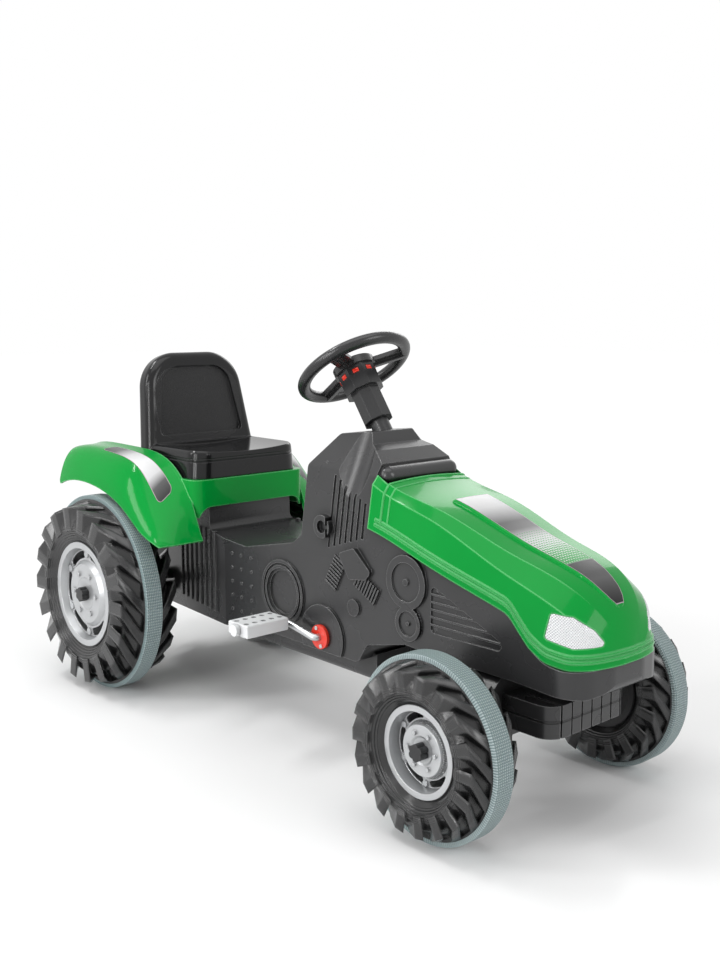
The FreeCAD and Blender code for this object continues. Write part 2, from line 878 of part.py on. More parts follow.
def finned_cylinder(x, z, lean):
    # Cooling fins: short bars across a leaning cylinder.
    fins = []
    pitch = cylinder_length / cylinder_fins
    for fin in range(cylinder_fins):
        along = (fin - (cylinder_fins - 1) / 2) * pitch
        half = pitch * fin_share / 2
        fins.append(block(x - cylinder_width / 2, x + cylinder_width / 2,
                          -body_half_width - relief_height, -body_half_width + relief_root * 2,
                          z + along - half, z + along + half))
    stack = Part.Compound(fins)
    stack.rotate(V(x, 0, z), V(0, 1, 0), lean)
    return stack


def grille_cuts():
    slots = []
    span = grille_x[1] - grille_x[0]
    for slot in range(grille_slots):
        share = slot / (grille_slots - 1)
        x = grille_x[0] + span * share
        foot = grille_floor_z[0] + (grille_floor_z[1] - grille_floor_z[0]) * share
        head = grille_head_z[0] + (grille_head_z[1] - grille_head_z[0]) * share
        half = grille_slot_width / 2
        corners = [(x - half, foot, 0.0), (x + half, foot, 0.0), (x + half, head, 0.0), (x - half, head, 0.0)]
        lean = (tower_shoulder_half_width - body_half_width) / (tower_rear_top_z - tower_shoulder_z)
        depth = relief_depth - lean * (foot - tower_shoulder_z)
        slab = flank(corners, depth, overrun)
        slab.rotate(V(x, -body_half_width, foot), V(1, 0, 0), math.degrees(math.atan(lean)))
        slots.append(slab)
    return slots


def louvre_bars():
    bars = []
    top = louvre_corners[0][1] - louvre_head_gap
    foot = louvre_corners[1][1] + louvre_end_gap
    for bar in range(louvre_count):
        z = foot + (top - foot) * bar / (louvre_count - 1)
        bars.append(block(louvre_corners[0][0] - overrun, louvre_corners[2][0],
                          -body_half_width, 0, z, z + louvre_height))
    return bars


def rear_flutes():
    # Upright ribs on the tapering flank beside the rear wheel.
    taper = math.atan((body_half_width - body_rear_half_width) / body_waist_x)
    flutes = []
    for flute in range(flute_count):
        x = flute_first_x + flute_pitch * flute
        y = -body_rear_half_width - x * math.tan(taper)
        rib = block(x - flute_width / 2, x + flute_width / 2, y - flute_height, y + relief_root,
                    flute_floor_z, flute_head_z)
        rib.rotate(V(x, y, 0), V(0, 0, 1), -math.degrees(taper))
        flutes.append(rib)
    return flutes


def scoop():
    # Hollow in the tower's flank between the instrument rim and the hood.
    lean = math.radians(scoop_lean)
    up = V(0, math.sin(lean), math.cos(lean))
    foot = V(scoop_x, -body_half_width - scoop_radius + scoop_depth, scoop_foot_z)
    hollow = Part.makeCylinder(scoop_radius, body_half_width * 2, foot, up)
    return hollow.fuse(Part.makeSphere(scoop_radius, foot))


def chassis_body():
    outer = body_hull(0).cut(pair(scoop()))
    roll = rod_y(roll_radius, -roll_half_length, roll_half_length, roll_x, roll_z)
    ends = [Part.makeSphere(roll_radius, V(roll_x, side * roll_half_length, roll_z)) for side in (-1, 1)]
    outer = outer.fuse([hood_lip(0), keel(0), chain_trough(0), roll] + ends)
    raised, sunk = engine_relief()
    raised += rear_flutes()
    outer = outer.fuse(raised + [mirrored(piece) for piece in raised])
    outer = outer.cut(sunk + [mirrored(piece) for piece in sunk])
    cavity = body_hull(body_wall).cut(pair(scoop().makeOffsetShape(body_wall, offset_tolerance)))
    cavity = cavity.fuse([hood_lip(body_wall), keel(body_wall), chain_trough(body_wall)])
    axle_z = rear_wheel_radius
    for piece in pair(rod_y(axle_boss_radius, -axle_boss_half_length,
                            axle_boss_length - axle_boss_half_length, 0, axle_z)):
        outer = outer.fuse(piece)
        cavity = cavity.cut(piece)
    foot_boss = on_column(foot_boss_radius, foot_boss_top, foot_boss_foot)
    outer = outer.fuse(foot_boss)
    cavity = cavity.cut(foot_boss)
    bores = [rod_y(bush_radius + seat_clearance, -body_half_width, body_half_width, 0, axle_z)]
    reach = body_half_width + overrun
    bores.append(rod_y(flange_spigot_radius + seat_clearance, -reach, reach, crank_x, crank_z))
    bores.append(on_column(neck_radius + seat_clearance, column_foot, neck_foot + body_wall))
    bores.append(on_column(shaft_radius + running_clearance, neck_foot, foot_boss_foot + overrun))
    return outer.cut([cavity] + bores)


# Hood and headlamps

def hood_section(station, inset):
    # Flank, sloped facet between two creases, crowned top; open below.
    place, crown, crease_z, crease_y, bend_z, bend_y, foot_y = station
    x = hood_rear_x + (nose_reach - hood_rear_x) * place
    soft = inset * hood_soft_share
    near = [
        V(x, -hood_half_width * foot_y + inset, bumper_floor - inset),
        V(x, -hood_half_width * bend_y + inset, hood_crown * bend_z - soft),
        V(x, -hood_half_width * crease_y + soft, hood_crown * crease_z - inset),
    ]
    far = [V(point.x, -point.y, point.z) for point in reversed(near)]
    crown_point = V(x, 0, hood_crown * crown - inset)
    edges = [Part.LineSegment(first, second).toShape() for first, second in zip(near, near[1:])]
    edges.append(Part.Arc(near[2], crown_point, far[0]).toShape())
    edges += [Part.LineSegment(first, second).toShape() for first, second in zip(far, far[1:] + near[:1])]
    return Part.Wire(edges)


def hood_form(inset):
    stations = hood_station_shares
    sections = [hood_section(station, inset) for station in stations]
    form = Part.makeLoft(sections, True, False, False, loft_degree)
    if inset == 0:
        return form
    # The hollow stops one wall short of the nose and runs out at the rear.
    rear = sections[0].translated(V(-overrun, 0, 0))
    back = Part.makeLoft([rear, sections[0]], True, True)
    form = form.translated(V(-inset, 0, 0))
    return form.fuse(back)


def hood_beads():
    # Two raised lines that follow the hood's lower edge.
    skin = hood_form(-bead_height).cut(hood_form(hood_wall / 2))
    reach = hood_half_width + overrun
    rear_x = hood_rear_x + bead_rear_gap
    bands = []
    for rise in bead_rises:
        lower = hood_line(-rise)
        upper = hood_line(-rise - bead_width)
        band = side_slab(lower + upper[::-1], -reach, reach)
        bands.append(band.common(block(rear_x, nose_reach + overrun, -reach, reach, 0, hood_crown)))
    return [skin.common(band) for band in bands]


def lamp_prism(grow):
    # Outline of the right-hand lamp, looking at it square on.
    turn = math.radians(lamp_yaw)
    along = V(math.cos(turn), math.sin(turn), 0)
    out = V(math.sin(turn), -math.cos(turn), 0)
    base = V(lamp_plane_x, -lamp_plane_y, 0)

    def lamp_point(reach, z):
        return base + along * reach + V(0, 0, z) - out * lamp_reach

    corners = [(reach, z, lamp_corner_radius) for reach, z in lamp_corners]
    return outline_face(inset_corners(corners, -grow), lamp_point).extrude(out * (lamp_reach * 2))


def hood_pieces():
    shell = hood_form(0).cut(hood_form(hood_wall))
    reach = hood_half_width + overrun
    line = hood_line(0)
    low = bumper_floor - overrun
    below = line + [(hood_rear_x - overrun, line[-1][1], 0.0), (hood_rear_x - overrun, low, 0.0),
                    (bumper_front_x + overrun, low, 0.0)]
    shell = shell.cut(side_slab(below, -reach, reach))
    shell = shell.cut(block(hood_rear_x - overrun, hood_ear_x, -hood_ear_half_width, hood_ear_half_width,
                            hood_ear_floor_z, hood_crown + overrun))
    right_lamp = shell.common(lamp_prism(0))
    shell = shell.fuse(hood_beads())
    hood = shell.cut(pair(lamp_prism(piece_clearance)))
    return hood, right_lamp


# Fender

def fender_section(station):
    # Cut through one mudguard in a plane that holds the axle: inner wall,
    # bowed top, falling flank.
    angle, inner, crest, outer, leg = station
    turn = math.radians(angle)
    away = V(math.cos(turn), 0, math.sin(turn))
    across = away.cross(V(0, 1, 0))

    def arch_point(y, radius):
        return V(0, -y, rear_wheel_radius) + away * radius

    bow_y = fender_inner_y + (fender_crest_y - fender_inner_y) * fender_bow_share
    flank_y = fender_crest_y + (fender_outer_y - fender_crest_y) * fender_flank_share
    places = [
        (fender_inner_y, inner), (bow_y, inner + (crest - inner) * fender_bow_share), (fender_crest_y, crest),
        (flank_y, outer + (crest - outer) * fender_bow_share), (fender_outer_y, outer),
    ]
    skin = [arch_point(y, rear_wheel_radius * share) for y, share in places]
    over = Part.BSplineCurve()
    over.interpolate(skin)
    lining = [arch_point(fender_inner_y + fender_wall, rear_wheel_radius * inner - fender_wall)]
    for point in skin[1:]:
        run = over.tangent(over.parameter(point))[0]
        lining.append(point + run.cross(across) * fender_wall)
    under = Part.BSplineCurve()
    under.interpolate(lining[::-1])
    foot = rear_wheel_radius * (inner - leg)
    feet = [arch_point(fender_inner_y + fender_wall, foot), arch_point(fender_inner_y, foot)]
    edges = [
        Part.LineSegment(feet[1], skin[0]).toShape(), over.toShape(),
        Part.LineSegment(skin[-1], lining[-1]).toShape(), under.toShape(),
        Part.LineSegment(lining[0], feet[0]).toShape(), Part.LineSegment(feet[0], feet[1]).toShape(),
    ]
    return Part.Wire(edges)


def rear_fender():
    guard = Part.makeLoft([fender_section(station) for station in fender_station_shares], True, False)
    tail = block(-rear_wheel_radius * 2, fender_tail_x, -rear_track, 0, 0, wheel_centre_z)
    guard = guard.cut(tail)
    half = fender_inner_y + fender_wall / 2
    top = deck_height + fender_wall
    outside = rounded_block(deck_rear_x, apron_front_x, half, deck_corner_radius)
    inside = rounded_block(deck_rear_x + fender_wall, apron_front_x - fender_wall, half - fender_wall,
                           deck_corner_radius - fender_wall)
    deck = plan_slab(outside, deck_height, top)
    # The apron hangs from the deck's front, turns back at both ends and is arched below.
    low = apron_foot_z - overrun
    apron = plan_slab(outside, apron_foot_z, top).cut(plan_slab(inside, low, top + overrun))
    apron = apron.common(block(apron_front_x - apron_return, apron_front_x, -half, half, apron_foot_z, top))
    arch = [(-half, low, 0.0), (half, low, 0.0), (apron_arch_half_width, apron_arch_z, apron_arch_radius),
            (-apron_arch_half_width, apron_arch_z, apron_arch_radius)]
    apron = apron.cut(front_slab(arch, apron_front_x - apron_return / 2, apron_front_x + overrun))
    return deck.fuse([apron] + pair(guard))


# Seat

def rounded_block(x_start, x_end, half, radius):
    return [(x_start, -half, radius), (x_end, -half, radius), (x_end, half, radius), (x_start, half, radius)]


def plan_wire(corners, z):
    lifted = [(V(x, y, z), radius) for x, y, radius in corners]
    return Part.Wire(rounded_edges(lifted))


def seat_cushion(inset):
    floor = deck_height + fender_wall
    narrow = seat_half_width - seat_top_half_width
    foot = rounded_block(seat_rear_x + inset, seat_front_x - inset, seat_half_width - inset,
                         seat_corner_radius - inset)
    head = rounded_block(seat_rear_x + inset, seat_front_x - inset - narrow / 2, seat_top_half_width - inset,
                         seat_corner_radius - inset)
    return Part.makeLoft([plan_wire(foot, floor), plan_wire(head, floor + seat_height - inset)], True, True)


def back_outline(inset, foot, foot_radius):
    # The back narrows towards its round top.
    top = deck_height + fender_wall + back_height - inset
    radius = back_top_radius - inset
    wide = back_half_width - inset
    narrow = back_top_half_width - inset
    return [(-wide, foot, foot_radius), (wide, foot, foot_radius),
            (narrow, top, radius), (-narrow, top, radius)]


def leaned(shape):
    turned = shape.copy()
    turned.rotate(V(seat_rear_x, 0, deck_height + fender_wall), V(0, 1, 0), -back_lean)
    return turned


def seat_back(inset):
    outline = back_outline(inset, deck_height + fender_wall + seat_corner_radius, 0.0)
    return front_slab(outline, seat_rear_x + inset, seat_rear_x + back_thickness - inset)


def back_pan():
    foot = deck_height + fender_wall + seat_height + seat_dish_depth
    front = seat_rear_x + back_thickness
    outline = back_outline(back_border, foot, back_foot_radius)
    return leaned(front_slab(outline, front - back_pan_depth, front + overrun))


def softened(shape, radius, wanted):
    edges = [edge for edge in shape.Edges if wanted(edge)]
    return shape.makeFillet(radius, edges)


def seat():
    floor = deck_height + fender_wall
    top = floor + seat_height
    cushion = softened(seat_cushion(0), seat_soft_radius,
                       lambda edge: edge.BoundBox.ZMin > top - seat_soft_radius)
    back = softened(seat_back(0), back_soft_radius,
                    lambda edge: edge.BoundBox.ZMax > top and edge.BoundBox.XLength < back_thickness / 2)
    back = leaned(back)
    dish_radius = (seat_top_half_width ** 2 / seat_dish_depth + seat_dish_depth) / 2
    dish_x = seat_rear_x + back_thickness
    dish_centre = V(dish_x, 0, top + dish_radius - seat_dish_depth)
    dish = Part.makeCylinder(dish_radius, seat_front_x, dish_centre, V(1, 0, 0))
    form = cushion.cut(dish).fuse(back)
    form = form.cut(back_pan())
    seam_z = floor + seat_height * seat_seam_share
    around = seat_half_width + overrun
    ring = rounded_block(seat_rear_x - overrun, seat_front_x + overrun, around, seat_corner_radius)
    groove = plan_slab(ring, seam_z, seam_z + seat_seam_height)
    narrow = (seat_half_width - seat_top_half_width) * seat_seam_share
    kept = rounded_block(seat_rear_x - overrun * 2, seat_front_x - seat_seam_depth - narrow / 2,
                         seat_half_width - narrow - seat_seam_depth, seat_corner_radius)
    form = form.cut(groove.cut(plan_slab(kept, 0, seam_z + overrun)))
    hollow = seat_cushion(seat_wall + seat_dish_depth)
    hollow = hollow.fuse(leaned(seat_back(seat_wall + back_pan_depth)))
    return form.cut(hollow)


# Steering

def column_prism(radius, start, end):
    # Faceted tube about the steering axis.
    corners = []
    tilt = math.radians(column_tilt)
    square = V(math.cos(tilt), 0, math.sin(tilt))
    for side in range(column_sides + 1):
        turn = 2 * math.pi * (side + 1 / 2) / column_sides
        out = square * (radius * math.cos(turn)) + V(0, radius * math.sin(turn), 0)
        corners.append(steering_axis(start) + out)
    return Part.Face(Part.makePolygon(corners)).extrude(steering_axis(end) - steering_axis(start))


def about_column(shape, angle):
    turned = shape.copy()
    turned.rotate(steering_axis(0), steering_axis(0) - steering_axis(1), angle)
    return turned


def steering_wheel():
    # The hand ring is a flattened tube, ribbed spokes run to a dished hub.
    reach = steering_wheel_radius - rim_half_depth
    middle = steering_axis(0, reach)
    outer = steering_axis(0, steering_wheel_radius)
    section = Part.Ellipse(outer, steering_axis(-rim_half_height, reach), middle)
    ring = Part.Face(Part.Wire(section.toShape()))
    ring = ring.revolve(steering_axis(0), steering_axis(-1) - steering_axis(0), 360)
    hub = on_column(hub_radius, -hub_thickness / 2, hub_thickness / 2)
    spokes = []
    for angle in spoke_angles:
        arm = block(0, reach, -spoke_width / 2, spoke_width / 2, -spoke_thickness / 2, spoke_thickness / 2)
        rib = block(0, reach, -spoke_thickness / 2, spoke_thickness / 2, -rim_half_height, 0)
        arm = arm.fuse(rib)
        arm.rotate(V(0, 0, 0), V(0, 0, 1), angle + 180)
        arm.rotate(V(0, 0, 0), V(0, 1, 0), -column_tilt)
        spokes.append(arm.translated(steering_axis(0)))
    wheel = hub.fuse(spokes).cut(on_column(horn_radius + piece_clearance, -overrun, 0))
    wheel = ring.fuse(wheel)
    wheel = wheel.cut(column_prism(collar_radius + seat_clearance, collar_top, collar_foot))
    return wheel.cut(on_column(shaft_radius + seat_clearance, -overrun, overrun))


def steering_column():
    # Windowed collar under the wheel and the faceted tube below it.
    form = column_prism(collar_radius, collar_top, collar_foot)
    form = form.fuse(column_prism(column_radius, collar_foot, column_foot))
    form = form.cut(on_column(collar_radius * collar_bore_share, collar_top, collar_foot - body_wall))
    windows = []
    for side in range(column_sides):
        window = block(0, collar_radius + overrun, -collar_window_width / 2, collar_window_width / 2,
                       -collar_window_height, 0)
        window.rotate(V(0, 0, 0), V(0, 1, 0), -column_tilt)
        window = window.translated(steering_axis(collar_top + collar_window_drop))
        windows.append(about_column(window, 360 / column_sides * side))
    return form.cut(windows + [on_column(shaft_radius + seat_clearance, 0, column_foot + overrun)])


def horn_bellows():
    # Concertina of the horn, seen through the collar's windows.
    form = on_column(bellows_radius, collar_top + piece_clearance, collar_foot - body_wall)
    return form.cut(on_column(shaft_radius + seat_clearance, 0, column_foot))


def horn_button():
    # Pad in the middle of the wheel that sinks into the hub's pocket.
    head = -hub_thickness / 2 - horn_thickness / 2
    pad = on_column(horn_radius, head, -horn_travel - piece_clearance)
    crown = steering_axis(head)
    return softened(pad, horn_soft_radius, lambda edge: (edge.CenterOfMass - crown).Length < horn_travel)


def steering_shaft():
    # Steel rod with a crank and a pin at its foot.
    foot = steering_axis(shaft_foot)
    knee = steering_axis(shaft_foot, -steering_crank)
    end = steering_axis(shaft_foot + steering_pin_length, -steering_crank)
    top = steering_axis(piece_clearance)
    return bent_rod([(top, 0), (foot, shaft_bend_radius), (knee, shaft_bend_radius), (end, 0)], shaft_radius)


def steering_neck():
    form = on_column(neck_radius, column_foot + piece_clearance, neck_foot)
    return form.cut(on_column(shaft_radius + running_clearance, column_foot, neck_foot + overrun))


# Front axle

def tie_rod_place():
    # Where the crank pin crosses the tie rod's level.
    level = barrel_top_z + tie_rod_thickness / 2 + piece_clearance
    knee = steering_axis(shaft_foot, -steering_crank)
    run = steering_axis(1) - steering_axis(0)
    return knee.x + run.x * (level - knee.z) / run.z, level


def front_bolster():
    top = front_floor
    lug_y = kingpin_y + bolster_lug_reach
    upper = barrel_top_z + piece_clearance
    lower = barrel_floor_z - piece_clearance
    beam = [
        (-lug_y, upper, 0.0), (-bolster_web_half_width, upper, 0.0), (-bolster_web_half_width, lower, 0.0),
        (-lug_y, lower, 0.0), (-lug_y, lower - lug_thickness, bolster_soft_radius),
        (-bolster_web_half_width, lower - lug_thickness, 0.0),
        (-bolster_arch_half_width, bolster_arch_z, 0.0), (bolster_arch_half_width, bolster_arch_z, 0.0),
        (bolster_web_half_width, lower - lug_thickness, 0.0),
        (lug_y, lower - lug_thickness, bolster_soft_radius), (lug_y, lower, 0.0),
        (bolster_web_half_width, lower, 0.0), (bolster_web_half_width, upper, 0.0), (lug_y, upper, 0.0),
        (lug_y, upper + lug_thickness, bolster_soft_radius), (bolster_top_half_width, top, 0.0),
        (-bolster_top_half_width, top, 0.0), (-lug_y, upper + lug_thickness, bolster_soft_radius),
    ]
    form = front_slab(beam, wheelbase - bolster_half_depth, wheelbase + bolster_half_depth)
    pockets = []
    bay = (2 * bolster_web_half_width - bolster_skin) / bolster_bays
    for index in range(bolster_bays):
        near = -bolster_web_half_width + bolster_skin + bay * index
        rear = wheelbase - bolster_half_depth - overrun
        front = wheelbase + bolster_half_depth - bolster_skin
        far = near + bay - bolster_skin
        pockets.append(block(rear, front, near, far, bolster_arch_z + bolster_skin, top - bolster_skin))
    form = form.cut(pockets)
    bores = [rod_z(kingpin_radius + seat_clearance, 0, top, wheelbase, side * kingpin_y) for side in (-1, 1)]
    return form.cut(bores)


def kingpins():
    floor = barrel_floor_z - piece_clearance - lug_thickness
    top = barrel_top_z + lug_thickness + piece_clearance
    pins = []
    for side in (-1, 1):
        y = side * kingpin_y
        pin = rod_z(kingpin_radius, floor, top, wheelbase, y)
        head = rod_z(kingpin_head_radius, floor - kingpin_head_height, floor, wheelbase, y)
        pins.append(pin.fuse(head))
    return Part.Compound(pins)


def front_weights():
    # Stack of ballast plates hung in front of the axle.
    rear = wheelbase + bolster_half_depth

    def block_plan(inset):
        half = weights_half_width - inset
        front = weights_front_x - inset
        return [(rear, -half, 0.0), (front, -half, weights_corner_radius),
                (front, half, weights_corner_radius), (rear, half, 0.0)]

    form = plan_slab(block_plan(0), weights_floor_z, weights_head_z)
    core = plan_slab(block_plan(weights_groove_depth), weights_floor_z + weights_groove_depth,
                     weights_head_z - weights_groove_depth)
    grooves = []
    pitch = 2 * weights_half_width / (weights_grooves + 1)
    for groove in range(weights_grooves):
        y = -weights_half_width + pitch * (groove + 1)
        cutter = block(rear + bolster_half_depth, weights_front_x + overrun, y - weights_groove_width / 2,
                       y + weights_groove_width / 2, weights_floor_z - overrun, weights_head_z + overrun)
        grooves.append(cutter.cut(core))
    half = weights_half_width - body_wall * 2
    hollow = block(rear + body_wall, weights_front_x - weights_corner_radius, -half, half,
                   weights_floor_z - overrun, weights_head_z - weights_groove_depth - body_wall)
    return form.cut(grooves + [hollow])


def knuckle():
    # Right-hand barrel with its steering arm and pin.
    arm_x, level = tie_rod_place()
    barrel = rod_z(barrel_radius, barrel_floor_z, barrel_top_z, wheelbase, -kingpin_y)
    arm_top = level - tie_rod_thickness / 2 - piece_clearance
    arm_floor = arm_top - arm_thickness
    half = arm_width / 2
    plan = [(wheelbase, -kingpin_y - half, 0.0), (wheelbase, -kingpin_y + half, 0.0),
            (arm_x - half, -kingpin_y + half, half * end_round_share),
            (arm_x - half, -kingpin_y - half, half * end_round_share)]
    arm = plan_slab(plan[::-1], arm_floor, arm_top)
    pin = rod_z(arm_pin_radius, arm_floor, level + tie_rod_thickness, arm_x, -kingpin_y)
    form = barrel.fuse([arm, pin])
    socket = rod_y(stub_radius + seat_clearance, -kingpin_y - barrel_radius - overrun,
                   -kingpin_y - kingpin_radius - stub_root_gap, wheelbase, front_wheel_radius)
    bore = rod_z(kingpin_radius + running_clearance, 0, front_floor, wheelbase, -kingpin_y)
    return form.cut([bore, socket])


def stub_axle():
    y_wheel = -front_track / 2
    start = -kingpin_y - kingpin_radius - stub_root_gap
    end = y_wheel + axle_end(front_wheel)
    collar_end = y_wheel + front_wheel["hub_y"] + piece_clearance
    rod = rod_y(stub_radius, end, start, wheelbase, front_wheel_radius)
    collar = rod_y(stub_collar_radius, collar_end, -kingpin_y - barrel_radius - piece_clearance,
                   wheelbase, front_wheel_radius)
    return rod.fuse(collar)


def tie_rod():
    x, level = tie_rod_place()
    half = tie_rod_width / 2
    end = kingpin_y + half
    floor = level - tie_rod_thickness / 2
    top = level + tie_rod_thickness / 2
    bar = rounded_block(x - half, x + half, end, half * end_round_share)
    middle = x + tie_slot_shift
    plate = rounded_block(middle - tie_plate_half_length, middle + tie_plate_half_length,
                          tie_plate_half_width, half)
    form = plan_slab(bar, floor, top).fuse(plan_slab(plate, floor, top))
    slot_half = shaft_radius + tie_slot_clearance
    slot = rounded_block(middle - tie_slot_half_length, middle + tie_slot_half_length, slot_half,
                         slot_half * end_round_share)
    slot = plan_slab(slot, floor - overrun, top + overrun)
    bores = pair(rod_z(arm_pin_radius + running_clearance, 0, front_floor, x, -kingpin_y))
    return form.cut([slot] + bores)


# Drive

def crank_point(side, radius, y):
    turn = math.radians(crank_rest_angle)
    reach = side * radius
    return V(crank_x + reach * math.cos(turn), y, crank_z + reach * math.sin(turn))


def crank():
    pin_end = pedal_inner_y + pedal_length + piece_clearance + pedal_cap_length
    bend_y = pedal_inner_y - crank_bend_radius
    route = []
    for side in (1, -1):
        knee = [(crank_point(side, crank_radius, -side * pin_end), 0),
                (crank_point(side, crank_radius, -side * bend_y), crank_bend_radius),
                (crank_point(side, 0, -side * crank_knee_y), crank_bend_radius)]
        route += knee if side == 1 else knee[::-1]
    return bent_rod(route, crank_rod_radius)


def pedal():
    # Right-hand pedal block with its rows of holes.
    middle = crank_point(1, crank_radius, -pedal_inner_y - pedal_length / 2)
    form = block(-pedal_depth / 2, pedal_depth / 2, -pedal_length / 2, pedal_length / 2,
                 -pedal_thickness / 2, pedal_thickness / 2)
    form = form.makeFillet(pedal_soft_radius, form.Edges)
    holes = []
    for row in range(pedal_hole_rows):
        for column in range(pedal_hole_columns):
            x = pedal_depth * ((row + 1 / 2) / pedal_hole_rows - 1 / 2)
            y = pedal_length * ((column + 1 / 2) / pedal_hole_columns - 1 / 2)
            holes.append(rod_z(pedal_hole_radius, -pedal_thickness, pedal_thickness, x, y))
    holes.append(rod_y(crank_rod_radius + running_clearance, -pedal_length, pedal_length))
    return form.cut(holes).translated(middle)


def pedal_caps():
    caps = []
    for side in (1, -1):
        start = pedal_inner_y + pedal_length + piece_clearance
        place = crank_point(side, crank_radius, 0)
        cap = rod_y(pedal_cap_radius, start, start + pedal_cap_length + pedal_soft_radius, place.x, place.z)
        cap = cap.cut(rod_y(crank_rod_radius + seat_clearance, 0, start + pedal_cap_length, place.x, place.z))
        caps.append(mirrored(cap) if side == 1 else cap)
    return Part.Compound(caps)


def crank_flange():
    face = -body_half_width - relief_height
    plate = rod_y(flange_radius, face - flange_thickness, face, crank_x, crank_z)
    spigot = rod_y(flange_spigot_radius, face, face + flange_spigot_length, crank_x, crank_z)
    bore = rod_y(crank_rod_radius + running_clearance, -body_half_width * 2, 0, crank_x, crank_z)
    return plate.fuse(spigot).cut(bore)


def flange_screws():
    face = -body_half_width - relief_height - flange_thickness
    screws = []
    for side in (-1, 1):
        x = crank_x + side * flange_radius * flange_screw_lean_share
        z = crank_z - side * flange_radius * flange_screw_share
        head = rod_y(flange_screw_radius, face - flange_screw_height, face, x, z)
        screws += pair(head)
    return Part.Compound(screws)


def pitch_radius(teeth):
    return chain_pitch / (2 * math.sin(math.pi / teeth))


def sprocket(teeth, x, z, bore):
    # Teeth stop short of the rollers, so that the wheel can turn in the chain.
    tip = pitch_radius(teeth) - chain_roller_radius - piece_clearance
    root = tip - sprocket_root_depth
    corners = ((0, tip), (tooth_land_share, tip), (tooth_root_shares[0], root), (tooth_root_shares[1], root))
    points = []
    for tooth in range(teeth):
        for share, radius in corners:
            turn = 2 * math.pi * (tooth + share) / teeth
            y = chain_y - sprocket_thickness / 2
            points.append(V(x + radius * math.cos(turn), y, z + radius * math.sin(turn)))
    plate = Part.Face(Part.makePolygon(points + points[:1])).extrude(V(0, sprocket_thickness, 0))
    half = sprocket_hub_length / 2
    hub = rod_y(sprocket_hub_radius, chain_y - half, chain_y + half, x, z)
    return plate.fuse(hub).cut(rod_y(bore + seat_clearance, -body_half_width, body_half_width, x, z))


def chain_path(offset):
    # Open-belt line round both sprockets, offset outwards.
    crank_r = pitch_radius(crank_teeth)
    axle_r = pitch_radius(axle_teeth)
    axle = V(0, 0, rear_wheel_radius)
    hub = V(crank_x, 0, crank_z)
    span = hub - axle
    distance = span.Length
    heading = math.atan2(span.z, span.x)
    lean = math.acos((crank_r - axle_r) / distance)
    upper = heading + math.pi - lean
    lower = heading + math.pi + lean

    def around(centre, radius, turn):
        return centre + V(math.cos(turn), 0, math.sin(turn)) * (radius + offset)

    points = dict(
        hub_top=around(hub, crank_r, upper), hub_end=around(hub, crank_r, heading),
        hub_foot=around(hub, crank_r, lower), axle_foot=around(axle, axle_r, lower),
        axle_end=around(axle, axle_r, heading + math.pi), axle_top=around(axle, axle_r, upper),
    )
    edges = [
        Part.Arc(points["hub_foot"], points["hub_end"], points["hub_top"]).toShape(),
        Part.LineSegment(points["hub_top"], points["axle_top"]).toShape(),
        Part.Arc(points["axle_top"], points["axle_end"], points["axle_foot"]).toShape(),
        Part.LineSegment(points["axle_foot"], points["hub_foot"]).toShape(),
    ]
    return Part.Wire(edges)


def chain():
    loop = chain_path(0)
    links = 2 * round(loop.Length / chain_pitch / 2)
    outer = Part.Face(chain_path(chain_plate_half_height))
    inner = Part.Face(chain_path(-chain_plate_half_height))
    strip = outer.cut(inner)
    side = chain_roller_width / 2
    plates = [
        strip.extrude(V(0, chain_plate_thickness, 0)).translated(V(0, chain_y + side, 0)),
        strip.extrude(V(0, -chain_plate_thickness, 0)).translated(V(0, chain_y - side, 0)),
    ]
    rollers = []
    for point in loop.discretize(Number=links + 1)[:-1]:
        rollers.append(rod_y(chain_roller_radius, chain_y - side, chain_y + side, point.x, point.z))
    return plates[0].fuse([plates[1]] + rollers)


def rear_axle():
    end = rear_track / 2 - axle_end(rear_wheel)
    return rod_y(rear_axle_radius, -end, end, 0, rear_wheel_radius)


def axle_bushes():
    bushes = []
    for side in (-1, 1):
        face = axle_boss_half_length
        tube = rod_y(bush_radius, face - axle_boss_length, face, 0, rear_wheel_radius)
        flange = rod_y(bush_flange_radius, face, face + bush_flange_thickness, 0, rear_wheel_radius)
        bore = rod_y(rear_axle_radius + running_clearance, 0, rear_track, 0, rear_wheel_radius)
        bush = tube.fuse(flange).cut(bore)
        bushes.append(bush if side == 1 else mirrored(bush))
    return Part.Compound(bushes)


def axle_spacers():
    start = axle_boss_half_length + bush_flange_thickness + piece_clearance
    end = rear_track / 2 - rear_wheel["hub_y"] - piece_clearance
    tube = rod_y(spacer_radius, start, end, 0, rear_wheel_radius)
    tube = tube.cut(rod_y(rear_axle_radius + seat_clearance, 0, rear_track, 0, rear_wheel_radius))
    return Part.Compound(pair(tube))


def tow_hitch():
    # Back plate on the rear wall and a tongue with a drawbar hole.
    head = hitch_plate_floor_z + hitch_plate_height
    half = hitch_plate_half_width
    plate = block(body_rear_x - hitch_plate_thickness, body_rear_x, -half, half, hitch_plate_floor_z, head)
    tip = body_rear_x - hitch_length
    soft = hitch_half_width * end_round_share
    plan = [(tip, -hitch_half_width, soft), (body_rear_x, -hitch_half_width, 0.0),
            (body_rear_x, hitch_half_width, 0.0), (tip, hitch_half_width, soft)]
    tongue = plan_slab(plan, hitch_tongue_z, hitch_tongue_z + hitch_thickness)
    eye_x = tip + hitch_half_width
    return plate.fuse(tongue).cut(rod_z(hitch_bore_radius, 0, head, eye_x, 0))


